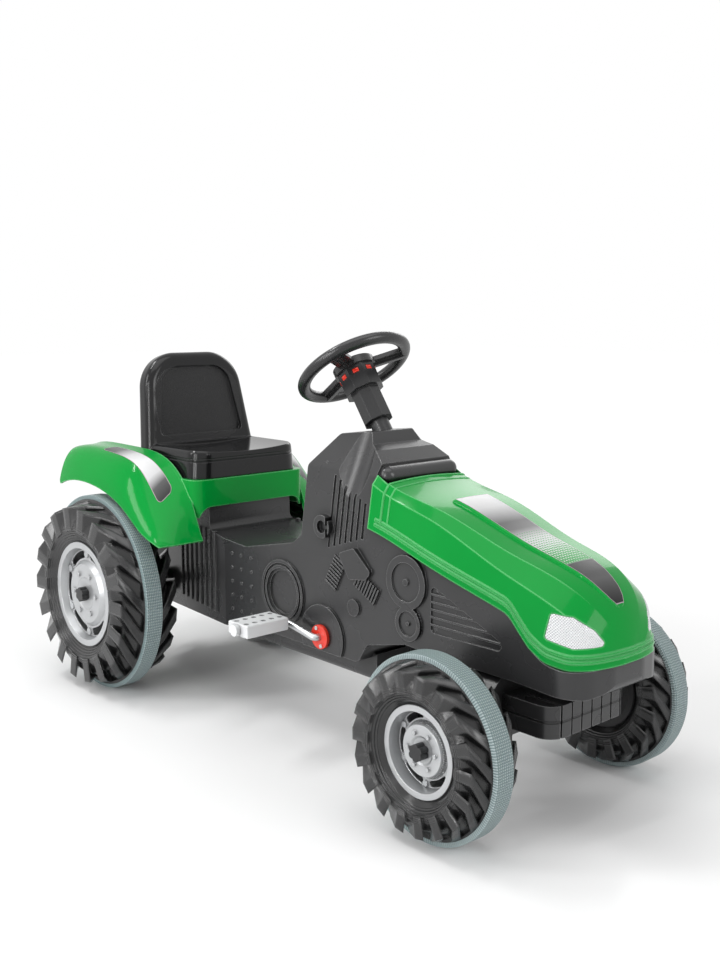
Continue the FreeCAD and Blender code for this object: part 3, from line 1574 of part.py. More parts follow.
shapes = {}
shapes["chassis_body"] = chassis_body()
shapes["hood"], right_lamp = hood_pieces()
shapes["headlamp_right"] = right_lamp
shapes["headlamp_left"] = mirrored(right_lamp)
shapes["rear_fender"] = rear_fender()
shapes["seat"] = seat()
shapes["steering_wheel"] = steering_wheel()
shapes["steering_column"] = steering_column()
shapes["horn_bellows"] = horn_bellows()
shapes["horn_button"] = horn_button()
shapes["steering_shaft"] = steering_shaft()
shapes["steering_neck"] = steering_neck()
shapes["front_bolster"] = front_bolster()
shapes["front_weights"] = front_weights()
shapes["kingpins"] = kingpins()
shapes["knuckle_right"] = knuckle()
shapes["knuckle_left"] = mirrored(knuckle())
shapes["stub_axle_right"] = stub_axle()
shapes["stub_axle_left"] = mirrored(stub_axle())
shapes["tie_rod"] = tie_rod()
shapes["crank"] = crank()
shapes["pedal_right"] = pedal()
left_pedal = pedal()
left_pedal.rotate(V(crank_x, 0, crank_z), V(0, 0, 1), 180)
left_pedal.translate(V(0, 0, 2 * (crank_z - crank_point(1, crank_radius, 0).z)))
shapes["pedal_left"] = left_pedal
shapes["pedal_caps"] = pedal_caps()
shapes["crank_flange_right"] = crank_flange()
shapes["crank_flange_left"] = mirrored(crank_flange())
shapes["flange_screws"] = flange_screws()
shapes["crank_sprocket"] = sprocket(crank_teeth, crank_x, crank_z, crank_rod_radius)
shapes["axle_sprocket"] = sprocket(axle_teeth, 0, rear_wheel_radius, rear_axle_radius)
shapes["chain"] = chain()
shapes["rear_axle"] = rear_axle()
shapes["axle_bushes"] = axle_bushes()
shapes["axle_spacers"] = axle_spacers()
shapes["tow_hitch"] = tow_hitch()

wheel_places = (("front", front_wheel, wheelbase, front_track), ("rear", rear_wheel, 0, rear_track))
for name, sizes, x, track in wheel_places:
    for piece, shape in wheel_pieces(sizes).items():
        right = shape.translated(V(x, -track / 2, sizes["radius"]))
        shapes[name + "_" + piece + "_right"] = right
        shapes[name + "_" + piece + "_left"] = mirrored(right)

# The origin lies on the ground, halfway between the rear tyres and the nose
middle_x = (nose_reach + bead_height - rear_wheel_radius) / 2
os.makedirs("parts", exist_ok=True)
for node, shape in shapes.items():
    placed = shape.translated(V(-middle_x, 0, 0))
    placed.exportStep("parts/" + node + ".step")
    box = placed.optimalBoundingBox()
    print(node, placed.isValid(), len(placed.Solids), round(placed.Volume / 1000, 1), box)
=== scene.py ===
import bmesh
import bpy
import math
from mathutils import Matrix, Vector
from mathutils.bvhtree import BVHTree


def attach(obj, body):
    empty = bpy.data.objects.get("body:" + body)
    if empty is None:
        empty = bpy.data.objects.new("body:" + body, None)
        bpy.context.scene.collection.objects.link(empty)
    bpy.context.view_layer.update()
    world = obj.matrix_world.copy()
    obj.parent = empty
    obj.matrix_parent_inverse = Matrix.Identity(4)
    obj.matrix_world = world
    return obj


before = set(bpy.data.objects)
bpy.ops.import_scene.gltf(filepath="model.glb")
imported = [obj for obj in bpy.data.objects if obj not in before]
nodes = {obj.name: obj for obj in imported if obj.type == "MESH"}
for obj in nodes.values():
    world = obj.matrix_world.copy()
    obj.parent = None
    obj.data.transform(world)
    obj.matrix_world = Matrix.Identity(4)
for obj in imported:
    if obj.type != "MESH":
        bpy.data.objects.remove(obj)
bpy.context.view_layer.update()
print("tractor loaded:", len(nodes), "nodes")


# small helpers for node trees

def feed(tree, node, inputs):
    for key, value in inputs.items():
        if isinstance(value, bpy.types.NodeSocket):
            tree.links.new(value, node.inputs[key])
        else:
            node.inputs[key].default_value = value


def put(tree, kind, inputs=None, **settings):
    node = tree.nodes.new(kind)
    for key, value in settings.items():
        setattr(node, key, value)
    feed(tree, node, inputs or {})
    return node


def calc(tree, operation, first, second=0.0, third=0.0):
    node = put(tree, "ShaderNodeMath", {0: first, 1: second, 2: third}, operation=operation)
    return node.outputs[0]


def hypot(tree, first, second):
    squares = [calc(tree, "MULTIPLY", value, value) for value in (first, second)]
    return calc(tree, "SQRT", calc(tree, "ADD", *squares))


def blendColors(tree, share, first, second, how="MIX"):
    inputs = {0: share, 6: first, 7: second}  # places of the color sockets
    return put(tree, "ShaderNodeMix", inputs, data_type="RGBA", blend_type=how).outputs[2]


def blendVectors(tree, share, first, second):
    inputs = {0: share, 4: first, 5: second}  # places of the vector sockets
    return put(tree, "ShaderNodeMix", inputs, data_type="VECTOR").outputs[1]


def ramp(tree, value, low, high, lowOut=0.0, highOut=1.0):
    inputs = {"Value": value, "From Min": low, "From Max": high, "To Min": lowOut, "To Max": highOut}
    return put(tree, "ShaderNodeMapRange", inputs, interpolation_type="SMOOTHSTEP").outputs[0]


def noise(tree, spot, scale, detail):
    return put(tree, "ShaderNodeTexNoise", {"Vector": spot, "Scale": scale, "Detail": detail}).outputs[0]


def objectSpot(tree):
    return put(tree, "ShaderNodeTexCoord").outputs["Object"]


def split(tree, vector):
    return put(tree, "ShaderNodeSeparateXYZ", {0: vector}).outputs


def newGroup(name, inputs, outputs):
    group = bpy.data.node_groups.new(name, "ShaderNodeTree")
    sockets = group.interface
    for label, kind, value in inputs:
        socket = sockets.new_socket(name=label, in_out="INPUT", socket_type="NodeSocket" + kind)
        socket.default_value = value
    for label, kind in outputs:
        sockets.new_socket(name=label, in_out="OUTPUT", socket_type="NodeSocket" + kind)
    given = group.nodes.new("NodeGroupInput").outputs
    out = group.nodes.new("NodeGroupOutput").inputs
    return group, given, out


def place(tree, group, inputs=None):
    node = tree.nodes.new("ShaderNodeGroup")
    node.node_tree = group
    feed(tree, node, inputs or {})
    return node.outputs


# shared effects

grainLook = {"detail": 3.0, "patchScale": 11.0, "patchDetail": 4.0}


def makeMouldGrain(look):
    # fine skin of a moulded part, with patches that are a little smoother
    inputs = [("Grain Size", "Float", 700.0), ("Roughness", "Float", 0.4), ("Spread", "Float", 0.06)]
    group, given, out = newGroup("mouldGrain", inputs, [("Roughness", "Float"), ("Height", "Float")])
    spot = objectSpot(group)
    fine = noise(group, spot, given["Grain Size"], look["detail"])
    wide = noise(group, spot, look["patchScale"], look["patchDetail"])
    centred = calc(group, "MULTIPLY", calc(group, "SUBTRACT", wide, 0.5), given["Spread"])
    group.links.new(calc(group, "MULTIPLY_ADD", centred, 2.0, given["Roughness"]), out["Roughness"])
    group.links.new(fine, out["Height"])
    return group


driftLook = {"scale": 7.0, "detail": 5.0, "range": (0.3, 0.7)}


def makeColourDrift(look):
    # slow lighter and darker drift of a pigment
    inputs = [("Color", "Color", (0.5, 0.5, 0.5, 1)), ("Amount", "Float", 0.06)]
    group, given, out = newGroup("colourDrift", inputs, [("Color", "Color")])
    wide = noise(group, objectSpot(group), look["scale"], look["detail"])
    dark, light = look["range"]
    low = calc(group, "SUBTRACT", 1.0, given["Amount"])
    high = calc(group, "ADD", 1.0, given["Amount"])
    shade = put(group, "ShaderNodeMapRange", {"Value": wide, "From Min": dark, "From Max": light,
                                              "To Min": low, "To Max": high}).outputs[0]
    tint = put(group, "ShaderNodeCombineColor", {0: shade, 1: shade, 2: shade}).outputs[0]
    group.links.new(blendColors(group, 1.0, given["Color"], tint, "MULTIPLY"), out["Color"])
    return group


wheelCentres = {"front": (0.4175, 0, 0.124), "rear": (-0.4095, 0, 0.175)}


def makeWheelPolar(centres):
    # radius as a share of the wheel's, angle round its axle and place across it
    inputs = [("Front Centre", "Vector", centres["front"]), ("Rear Centre", "Vector", centres["rear"])]
    outputs = [("Radius", "Float"), ("Angle", "Float"), ("Across", "Float")]
    group, given, out = newGroup("wheelPolar", inputs, outputs)
    spot = objectSpot(group)
    atFront = calc(group, "GREATER_THAN", split(group, spot)[0], 0.0)
    centre = blendVectors(group, atFront, given["Rear Centre"], given["Front Centre"])
    arm = put(group, "ShaderNodeVectorMath", {0: spot, 1: centre}, operation="SUBTRACT").outputs[0]
    axes = split(group, arm)
    size = split(group, centre)[2]  # a wheel's centre is one radius up
    group.links.new(calc(group, "DIVIDE", hypot(group, axes[0], axes[2]), size), out["Radius"])
    group.links.new(calc(group, "ARCTAN2", axes[2], axes[0]), out["Angle"])
    group.links.new(axes[1], out["Across"])
    return group


hollowLook = {"reach": 0.018, "open": 0.97, "closed": 0.6, "samples": 4}


def makePaintedShadeMask(look):
    # one deep in grooves and corners, where light doesn't reach; it darkens them as painted shade
    group, given, out = newGroup("hollowMask", [("Reach", "Float", look["reach"])], [("Mask", "Float")])
    clear = put(group, "ShaderNodeAmbientOcclusion", {"Distance": given["Reach"]}, samples=look["samples"])
    group.links.new(ramp(group, clear.outputs["AO"], look["open"], look["closed"]), out["Mask"])
    return group


edgeLook = {"flat": 0.995, "samples": 4}


def makeEdgeMask(look):
    # one along the edges of a moulding, used to make them glossier and to lighten their colour as a painted
    # highlight
    inputs = [("Width", "Float", 0.0015), ("Sharp", "Float", 0.86)]
    group, given, out = newGroup("edgeMask", inputs, [("Mask", "Float"), ("Normal", "Vector")])
    rounded = put(group, "ShaderNodeBevel", {"Radius": given["Width"]}, samples=look["samples"]).outputs[0]
    plain = put(group, "ShaderNodeNewGeometry").outputs["Normal"]
    facing = put(group, "ShaderNodeVectorMath", {0: rounded, 1: plain}, operation="DOT_PRODUCT")
    group.links.new(ramp(group, facing.outputs["Value"], look["flat"], given["Sharp"]), out["Mask"])
    group.links.new(rounded, out["Normal"])
    return group


mouldGrain = makeMouldGrain(grainLook)
colourDrift = makeColourDrift(driftLook)
wheelPolar = makeWheelPolar(wheelCentres)
edgeMask = makeEdgeMask(edgeLook)
hollowMask = makePaintedShadeMask(hollowLook)
print("shared effects made")


# finishes

plainLook = {"edge": 0.0012, "sharp": 0.86, "highlightShare": 0.0, "polish": 0.06, "grainDepth": 0.0004,
             "hollowShade": 0.15, "metal": 0.0, "coat": 0.0, "coatRoughness": 0.05, "specular": 0.5}


def makeFinish(name, given):
    look = {**plainLook, "highlightColor": given["color"], **given}
    material = bpy.data.materials.new(name)
    material.use_nodes = True
    tree = material.node_tree
    shader = tree.nodes["Principled BSDF"]
    color = place(tree, colourDrift, {"Color": (*look["color"], 1), "Amount": look["drift"]})["Color"]
    grain = place(tree, mouldGrain, {"Grain Size": look["grainSize"], "Roughness": look["roughness"],
                                     "Spread": look["spread"]})
    edge = place(tree, edgeMask, {"Width": look["edge"], "Sharp": look["sharp"]})
    # edges lightened toward a lighter colour: a painted highlight
    paintedHighlight = calc(tree, "MULTIPLY", edge["Mask"], look["highlightShare"])
    color = blendColors(tree, paintedHighlight, color, (*look["highlightColor"], 1))
    # grooves and corners darkened toward a dark copy of the colour: painted shade
    if "hollow" in look:
        shadeShare = calc(tree, "MULTIPLY", place(tree, hollowMask)["Mask"], look["hollow"])
        shade = tuple(look["hollowShade"] * part for part in look["color"])
        color = blendColors(tree, shadeShare, color, (*shade, 1))
    rough = calc(tree, "MULTIPLY_ADD", edge["Mask"], -look["polish"], grain["Roughness"])
    bump = put(tree, "ShaderNodeBump", {"Height": grain["Height"], "Strength": look["grain"],
                                        "Distance": look["grainDepth"], "Normal": edge["Normal"]})
    feed(tree, shader, {"Base Color": color, "Roughness": rough, "Normal": bump.outputs[0],
                        "Metallic": look["metal"], "Coat Weight": look["coat"],
                        "Coat Roughness": look["coatRoughness"], "Specular IOR Level": look["specular"]})
    return {"material": material, "tree": tree, "shader": shader, "color": color, "rough": rough,
            "bump": bump}


def recolor(finish, share, color):
    tree = finish["tree"]
    finish["color"] = blendColors(tree, share, finish["color"], (*color, 1))
    feed(tree, finish["shader"], {"Base Color": finish["color"]})


def reshine(finish, share, rough):
    tree = finish["tree"]
    inputs = {0: share, 2: finish["rough"], 3: rough}  # places of the float sockets
    finish["rough"] = put(tree, "ShaderNodeMix", inputs, data_type="FLOAT").outputs[0]
    feed(tree, finish["shader"], {"Roughness": finish["rough"]})


def emboss(finish, height, depth):
    tree = finish["tree"]
    finish["bump"] = put(tree, "ShaderNodeBump", {"Height": height, "Strength": 1.0, "Distance": depth,
                                                  "Normal": finish["bump"].outputs[0]})
    feed(tree, finish["shader"], {"Normal": finish["bump"].outputs[0]})


def dress(finish, *names):
    for name in names:
        slots = nodes[name].data.materials
        slots.clear()
        slots.append(finish["material"])


def objectAxes(tree):
    return split(tree, objectSpot(tree))


def away(tree, value, middle):
    return calc(tree, "ABSOLUTE", calc(tree, "SUBTRACT", value, middle))


def wave(tree, value, perMetre):
    return calc(tree, "SINE", calc(tree, "MULTIPLY", value, perMetre))


def cutSeam(finish, look):
    # level dark groove round a moulding
    tree = finish["tree"]
    seam = ramp(tree, away(tree, objectAxes(tree)[2], look["seamHeight"]), *look["seamWidths"])
    recolor(finish, calc(tree, "MULTIPLY", seam, look["seamInk"]), look["seamColor"])
    emboss(finish, calc(tree, "MULTIPLY", seam, -1.0), look["seamDepth"])


bodyLook = {"color": (0.026, 0.026, 0.027), "hollow": 0.9, "drift": 0.12, "grainSize": 900.0, "grain": 0.06,
            "roughness": 0.28, "spread": 0.07, "specular": 0.5, "highlightShare": 0.9,
            "highlightColor": (0.26, 0.26, 0.262), "edge": 0.002, "polish": 0.1}
bodyBlack = makeFinish("bodyBlack", bodyLook)
dress(bodyBlack, "chassis_body", "front_bolster")

ballastLook = {**bodyLook, "seamHeight": 0.1555, "seamWidths": (0.0022, 0.0011), "seamInk": 0.85,
               "seamColor": (0.004, 0.004, 0.004), "seamDepth": 0.0015}
ballastBlack = makeFinish("ballastBlack", ballastLook)
cutSeam(ballastBlack, ballastLook)  # the moulding shows two courses of weights
dress(ballastBlack, "front_weights")

greenLook = {"color": (0.0002, 0.275, 0.036), "drift": 0.035, "grainSize": 500.0, "grain": 0.02,
             "roughness": 0.16, "spread": 0.03, "specular": 0.05, "coat": 0.18, "coatRoughness": 0.03,
             "highlightShare": 0.7, "highlightColor": (0.2, 0.68, 0.28), "sharp": 0.965, "edge": 0.003, "polish": 0.05}
shellGreen = makeFinish("shellGreen", greenLook)
dress(shellGreen, "hood", "rear_fender")

lampLook = {"color": (0.8, 0.81, 0.82), "drift": 0.02, "grainSize": 400.0, "grain": 0.05, "roughness": 0.2,
            "spread": 0.03, "coat": 0.4, "cell": 1700.0, "lean": 0.6, "cellDepth": 0.0004,
            "inkFrom": (0.0, 0.6), "ink": 0.85, "inkColor": (0.4, 0.41, 0.43)}
lampWhite = makeFinish("lampWhite", lampLook)


def gridLamp(finish, look):
    # cells of the lens, leaning back with the lamp's face
    tree = finish["tree"]
    axes = objectAxes(tree)
    lean = calc(tree, "MULTIPLY", axes[0], look["lean"])
    along = calc(tree, "SUBTRACT", calc(tree, "ABSOLUTE", axes[1]), lean)
    cells = calc(tree, "MULTIPLY", wave(tree, along, look["cell"]), wave(tree, axes[2], look["cell"]))
    recolor(finish, ramp(tree, cells, *look["inkFrom"], 0.0, look["ink"]), look["inkColor"])
    emboss(finish, cells, look["cellDepth"])


gridLamp(lampWhite, lampLook)
dress(lampWhite, "headlamp_right", "headlamp_left")

seatLook = {"color": (0.009, 0.009, 0.0095), "drift": 0.08, "grainSize": 500.0, "grain": 0.03,
            "roughness": 0.1, "spread": 0.02, "specular": 0.3, "highlightShare": 0.5,
            "highlightColor": (0.05, 0.05, 0.052), "edge": 0.003, "panelMiddle": 0.505,
            "panelHalf": (0.093, 0.068), "panelRound": 0.05, "panelSoft": 0.003, "panelRoughness": 0.4,
            "hideScale": 420.0, "hideDepth": 0.0006, "seamHeight": 0.4225, "seamWidths": (0.0012, 0.0003),
            "seamInk": 0.8, "seamColor": (0.004, 0.004, 0.004), "seamDepth": 0.0008}
seatBlack = makeFinish("seatBlack", seatLook)


def padSeat(finish, look):
    # leather-grained panel on the back
    tree = finish["tree"]
    axes = objectAxes(tree)
    halfWide, halfTall = look["panelHalf"]
    wide = calc(tree, "SUBTRACT", calc(tree, "ABSOLUTE", axes[1]), halfWide - look["panelRound"])
    tall = calc(tree, "SUBTRACT", away(tree, axes[2], look["panelMiddle"]), halfTall - look["panelRound"])
    corner = hypot(tree, calc(tree, "MAXIMUM", wide, 0.0), calc(tree, "MAXIMUM", tall, 0.0))
    panel = ramp(tree, corner, look["panelRound"] + look["panelSoft"], look["panelRound"] - look["panelSoft"])
    hide = put(tree, "ShaderNodeTexVoronoi", {"Vector": objectSpot(tree), "Scale": look["hideScale"]},
               feature="F1").outputs["Distance"]
    reshine(finish, panel, look["panelRoughness"])
    emboss(finish, calc(tree, "MULTIPLY", panel, hide), look["hideDepth"])


padSeat(seatBlack, seatLook)
cutSeam(seatBlack, seatLook)  # round the cushion
dress(seatBlack, "seat")

steeringLook = {"color": (0.018, 0.018, 0.019), "drift": 0.1, "grainSize": 800.0, "grain": 0.04,
                "roughness": 0.28, "spread": 0.05, "highlightShare": 0.5, "highlightColor": (0.06, 0.06, 0.062)}
steeringBlack = makeFinish("steeringBlack", steeringLook)
dress(steeringBlack, "steering_wheel", "steering_column", "steering_neck", "horn_button")

redLook = {"color": (0.72, 0.035, 0.018), "drift": 0.06, "grainSize": 600.0, "grain": 0.1,
           "roughness": 0.22, "spread": 0.04, "highlightShare": 0.5, "highlightColor": (0.9, 0.14, 0.07)}
flangeRed = makeFinish("flangeRed", redLook)
dress(flangeRed, "horn_bellows", "crank_flange_right", "crank_flange_left")

steelLook = {"color": (0.6, 0.61, 0.62), "drift": 0.08, "grainSize": 1200.0, "grain": 0.15,
             "roughness": 0.28, "spread": 0.08, "metal": 1.0}
drawnSteel = makeFinish("drawnSteel", steelLook)
dress(drawnSteel, "steering_shaft", "kingpins", "stub_axle_right", "stub_axle_left", "tie_rod", "crank",
      "crank_sprocket", "axle_sprocket", "chain", "rear_axle", "flange_screws", "tow_hitch")

knuckleLook = {"color": (0.02, 0.02, 0.021), "drift": 0.1, "grainSize": 900.0, "grain": 0.3,
               "roughness": 0.45, "spread": 0.06}
knuckleBlack = makeFinish("knuckleBlack", knuckleLook)
dress(knuckleBlack, "knuckle_right", "knuckle_left", "axle_bushes", "axle_spacers")

pedalLook = {"color": (0.72, 0.73, 0.74), "hollow": 0.6, "drift": 0.05, "grainSize": 900.0, "grain": 0.3,
             "roughness": 0.42, "spread": 0.06, "highlightShare": 0.5, "highlightColor": (0.8, 0.8, 0.8)}
pedalGrey = makeFinish("pedalGrey", pedalLook)
dress(pedalGrey, "pedal_right", "pedal_left", "pedal_caps")

tyreLook = {"color": (0.015, 0.015, 0.0155), "hollow": 0.75, "specular": 0.6, "drift": 0.14,
            "grainSize": 700.0, "grain": 0.04, "roughness": 0.19, "spread": 0.05, "highlightShare": 0.5,
            "highlightColor": (0.075, 0.075, 0.0765), "edge": 0.006, "polish": 0.05,
            "ringShares": (0.56, 0.7), "ringSoft": 0.01, "ringPitch": 260.0, "ringDepth": 0.0004}
tyreBlack = makeFinish("tyreBlack", tyreLook)


def ringTyre(finish, look):
    # fine rings on the sidewall
    tree = finish["tree"]
    radius = place(tree, wheelPolar)["Radius"]
    first, last = look["ringShares"]
    inner = ramp(tree, radius, first - look["ringSoft"], first)
    outer = ramp(tree, radius, last, last - look["ringSoft"])
    inside = calc(tree, "MULTIPLY", inner, outer)
    emboss(finish, calc(tree, "MULTIPLY", wave(tree, radius, look["ringPitch"]), inside), look["ringDepth"])


ringTyre(tyreBlack, tyreLook)

bandLook = {"color": (0.2, 0.27, 0.275), "drift": 0.06, "grainSize": 350.0, "grain": 0.3, "roughness": 0.5,
            "spread": 0.06, "aroundPitch": 110.0, "acrossPitch": 920.0, "knurlDepth": 0.001,
            "inkFrom": (0.05, 0.5), "ink": 0.75, "inkColor": (0.5, 0.58, 0.59)}
bandGrey = makeFinish("bandGrey", bandLook)


def knurlBand(finish, look):
    # crossed rows of pips round the band
    tree = finish["tree"]
    wheel = place(tree, wheelPolar)
    around = calc(tree, "MULTIPLY", wheel["Angle"], look["aroundPitch"])
    across = calc(tree, "MULTIPLY", wheel["Across"], look["acrossPitch"])
    rows = [calc(tree, "SINE", calc(tree, how, around, across)) for how in ("ADD", "SUBTRACT")]
    knurl = calc(tree, "MULTIPLY", *rows)
    recolor(finish, ramp(tree, knurl, *look["inkFrom"], 0.0, look["ink"]), look["inkColor"])
    emboss(finish, knurl, look["knurlDepth"])


knurlBand(bandGrey, bandLook)

rimLook = {"color": (0.52, 0.53, 0.54), "hollow": 0.35, "drift": 0.04, "grainSize": 800.0, "grain": 0.06,
           "roughness": 0.33, "spread": 0.05, "metal": 0.6, "highlightShare": 0.4, "highlightColor": (0.7, 0.7, 0.7)}
discLook = {"color": (0.03, 0.03, 0.031), "drift": 0.1, "grainSize": 800.0, "grain": 0.3, "roughness": 0.5,
            "spread": 0.06}
capLook = {"color": (0.012, 0.012, 0.013), "drift": 0.1, "grainSize": 800.0, "grain": 0.2, "roughness": 0.3,
           "spread": 0.05, "highlightShare": 0.5, "highlightColor": (0.06, 0.06, 0.06)}
wheelFinishes = {"tyre": tyreBlack, "tread_band": bandGrey, "rim": makeFinish("rimSilver", rimLook),
                 "inner_disc": makeFinish("discBlack", discLook), "hub_cap": makeFinish("capBlack", capLook)}
for piece, finish in wheelFinishes.items():
    dress(finish, *[f"{end}_{piece}_{side}" for end in ("front", "rear") for side in ("right", "left")])
print("finishes on")


# raised panel, beads and printed films that lie on the green mouldings

dropHeight = 0.8  # over the whole part


def surfaceOf(name):
    mesh = nodes[name].data
    corners = [vertex.co for vertex in mesh.vertices]
    return BVHTree.FromPolygons(corners, [list(face.vertices) for face in mesh.polygons])


def dropOn(surface, x, y):
    spot, normal, _, _ = surface.ray_cast(Vector((x, y, dropHeight)), Vector((0, 0, -1)))
    return spot, normal


def between(table, x):
    for (lowX, low), (highX, high) in zip(table, table[1:]):
        if x <= highX:
            return low + (high - low) * max(0.0, (x - lowX) / (highX - lowX))
    return table[-1][1]


def smooth(share):
    share = min(1.0, max(0.0, share))
    return share * share * (3 - 2 * share)


def cosines(count):
    return [(1 - math.cos(math.pi * step / (count - 1))) / 2 for step in range(count)]


def halfTurns(count):
    return [math.pi * (step / (count - 1) - 0.5) for step in range(count)]


def makePiece(name, build, finish):
    mesh = bpy.data.meshes.new(name)
    build.to_mesh(mesh)
    build.free()
    mesh.materials.append(finish["material"])
    piece = bpy.data.objects.new(name, mesh)
    bpy.context.scene.collection.objects.link(piece)
    return piece


def makeSheet(name, finish, rows):
    # rows of (point, along, edge distance) become one smooth mesh with a map of the last two
    build = bmesh.new()
    layer = build.loops.layers.uv.new("print")
    grid = [[(build.verts.new(point), along, edge) for point, along, edge in row] for row in rows]
    for first, second in zip(grid, grid[1:]):
        for corners in zip(first, first[1:], second[1:], second):
            face = build.faces.new([corner[0] for corner in reversed(corners)])
            face.smooth = True
            for loop, corner in zip(face.loops, reversed(corners)):
                loop[layer].uv = corner[1:]
    bmesh.ops.recalc_face_normals(build, faces=build.faces)
    piece = makePiece(name, build, finish)
    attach(piece, "frame")


tongueLook = {"ends": (0.300, 0.5655), "rise": ((0.300, 0.0045), (0.52, 0.0035), (0.5655, 0.0015)),
              "soft": 0.004, "sink": 0.0012, "rows": 72, "columns": 33, "leastHalf": 0.0004,
              "filmInset": 0.0042, "filmLift": 0.0003,
              "halfWidths": ((0.300, 0.0375), (0.350, 0.0365), (0.405, 0.0345), (0.464, 0.033),
                             (0.499, 0.0315), (0.521, 0.028), (0.545, 0.0225), (0.555, 0.0175),
                             (0.562, 0.011), (0.5655, 0.001))}


def tongueRows(look, surface, inset, isFilm):
    # the panel fades into the hood at its edge, and the film lies on the panel
    rear, tip = look["ends"][0] + inset, look["ends"][1] - inset
    rows = []
    for share in cosines(look["rows"]):
        x = rear + (tip - rear) * share
        half = max(look["leastHalf"], between(look["halfWidths"], x) - inset)
        rise = between(look["rise"], x)
        row = []
        for turn in halfTurns(look["columns"]):
            y = half * math.sin(turn)
            edge = min(half - abs(y), x - rear, tip - x)
            spot, normal = dropOn(surface, x, y)
            fade = 1.0 if isFilm else smooth(edge / look["soft"])
            lift = rise * fade - look["sink"] * (1 - fade) + (look["filmLift"] if isFilm else 0.0)
            row.append((spot + normal * lift, share, edge))
        rows.append(row)
    return rows


hoodSurface = surfaceOf("hood")
makeSheet("hoodTongue", shellGreen, tongueRows(tongueLook, hoodSurface, 0.0, False))

lipLook = {"Rear": {"x": 0.2155, "radius": 0.0027}, "Front": {"x": 0.2285, "radius": 0.0019},
           "centreHeight": 0.36, "reach": 0.3, "angles": (3.0, 177.0), "taper": 9.0, "sink": 0.4,
           "rows": 120, "columns": 13}


def lipRows(look, surface, bead):
    # half-round bead over the arch of the hood
    first, last = look["angles"]
    centre = Vector((bead["x"], 0, look["centreHeight"]))
    rows = []
    for step in range(look["rows"]):
        share = step / (look["rows"] - 1)
        angle = first + (last - first) * share
        outward = Vector((0, -math.cos(math.radians(angle)), math.sin(math.radians(angle))))
        spot, normal, _, _ = surface.ray_cast(centre + outward * look["reach"], -outward)
        radius = bead["radius"] * smooth(min(angle - first, last - angle) / look["taper"])
        row = []
        for turn in halfTurns(look["columns"]):
            lift = normal * (math.cos(turn) * radius - look["sink"] * bead["radius"])
            row.append((spot + lift + Vector((math.sin(turn) * radius, 0, 0)), share, radius))
        rows.append(row)
    return rows


for end in ("Rear", "Front"):
    makeSheet("hoodLip" + end, shellGreen, lipRows(lipLook, hoodSurface, lipLook[end]))

filmLook = {"color": (0.5, 0.5, 0.5), "drift": 0.02, "grainSize": 900.0, "grain": 0.03, "roughness": 0.3,
            "spread": 0.03, "specular": 0.15, "edge": 0.0004, "coolShare": 1.01,
            "border": (0.0011, 0.0006), "borderColor": (0.42, 0.36, 0.39)}
hoodShades = ((0.0, 0.6), (0.14, 0.48), (0.3, 0.06), (0.37, 0.1), (0.47, 0.5), (0.7, 0.56), (0.74, 0.45),
              (0.75, 0.02), (0.88, 0.09), (1.0, 0.015))
hoodDots = {"pitch": 1250.0, "ends": (0.4, 0.745), "limits": (1.3, -1.2), "soft": 0.15,
            "color": (0.0, 0.26, 0.03)}
fenderShades = ((0.0, 0.04), (0.2, 0.09), (0.42, 0.6), (0.62, 0.78), (0.8, 0.6), (0.89, 0.1), (1.0, 0.03))


def printDots(finish, look, along):
    # dot screen whose dots grow along the film
    tree = finish["tree"]
    axes = objectAxes(tree)
    waves = [calc(tree, "COSINE", calc(tree, "MULTIPLY", axes[index], look["pitch"])) for index in (0, 1)]
    first, last = look["ends"]
    over = calc(tree, "SUBTRACT", calc(tree, "ADD", *waves), ramp(tree, along, first, last, *look["limits"]))
    inside = calc(tree, "MULTIPLY", calc(tree, "GREATER_THAN", along, first),
                  calc(tree, "LESS_THAN", along, last))
    ink = calc(tree, "MULTIPLY", inside, ramp(tree, over, -look["soft"], look["soft"]))
    recolor(finish, ink, look["color"])


def makeFilm(name, look, shades, dots=None):
    # grey bands along a film, with a thin border
    finish = makeFinish(name, look)
    tree = finish["tree"]
    along, edge, _ = split(tree, put(tree, "ShaderNodeUVMap", uv_map="print").outputs[0])
    bands = put(tree, "ShaderNodeValToRGB", {"Fac": along})
    stops = bands.color_ramp.elements
    for index, (stop, shade) in enumerate(shades):
        spot = stops[index] if index < 2 else stops.new(stop)  # a new ramp has two stops
        spot.position = stop
        spot.color = (shade, shade, shade * look["coolShare"], 1)
    finish["color"] = blendColors(tree, 1.0, finish["color"], bands.outputs[0])
    if dots:
        printDots(finish, dots, along)
    recolor(finish, ramp(tree, edge, *look["border"]), look["borderColor"])
    return finish


hoodPrint = makeFilm("hoodPrint", filmLook, hoodShades, hoodDots)
makeSheet("hoodFilm", hoodPrint,
          tongueRows(tongueLook, hoodSurface, tongueLook["filmInset"], True))

fenderFilmLook = {"ends": (-0.452, -0.262), "across": (0.1395, 0.168), "round": 0.008, "lift": 0.0004,
                  "rows": 60, "columns": 21}


def fenderRows(look, surface, side):
    # strip with rounded corners along the crown of a wheel arch
    rear, front = look["ends"]
    inner, outer = look["across"]
    middle, half = (inner + outer) / 2, (outer - inner) / 2
    rows = []
    for share in cosines(look["rows"]):
        x = rear + (front - rear) * share
        fromEnd = min(x - rear, front - x)
        dip = max(0.0, look["round"] - fromEnd)
        width = half - look["round"] + math.sqrt(max(0.0, look["round"] ** 2 - dip ** 2))
        row = []
        for column in range(look["columns"]):
            y = width * (2 * column / (look["columns"] - 1) - 1)
            spot, normal = dropOn(surface, x, side * (middle + y))
            row.append((spot + normal * look["lift"], share, min(width - abs(y), fromEnd)))
        rows.append(row)
    return rows


fenderSurface = surfaceOf("rear_fender")
fenderPrint = makeFilm("fenderPrint", filmLook, fenderShades)
for name, side in (("fenderFilmRight", -1), ("fenderFilmLeft", 1)):
    makeSheet(name, fenderPrint, fenderRows(fenderFilmLook, fenderSurface, side))
print("panel, beads and films laid")


# small screws of the body, domed with a cross slot

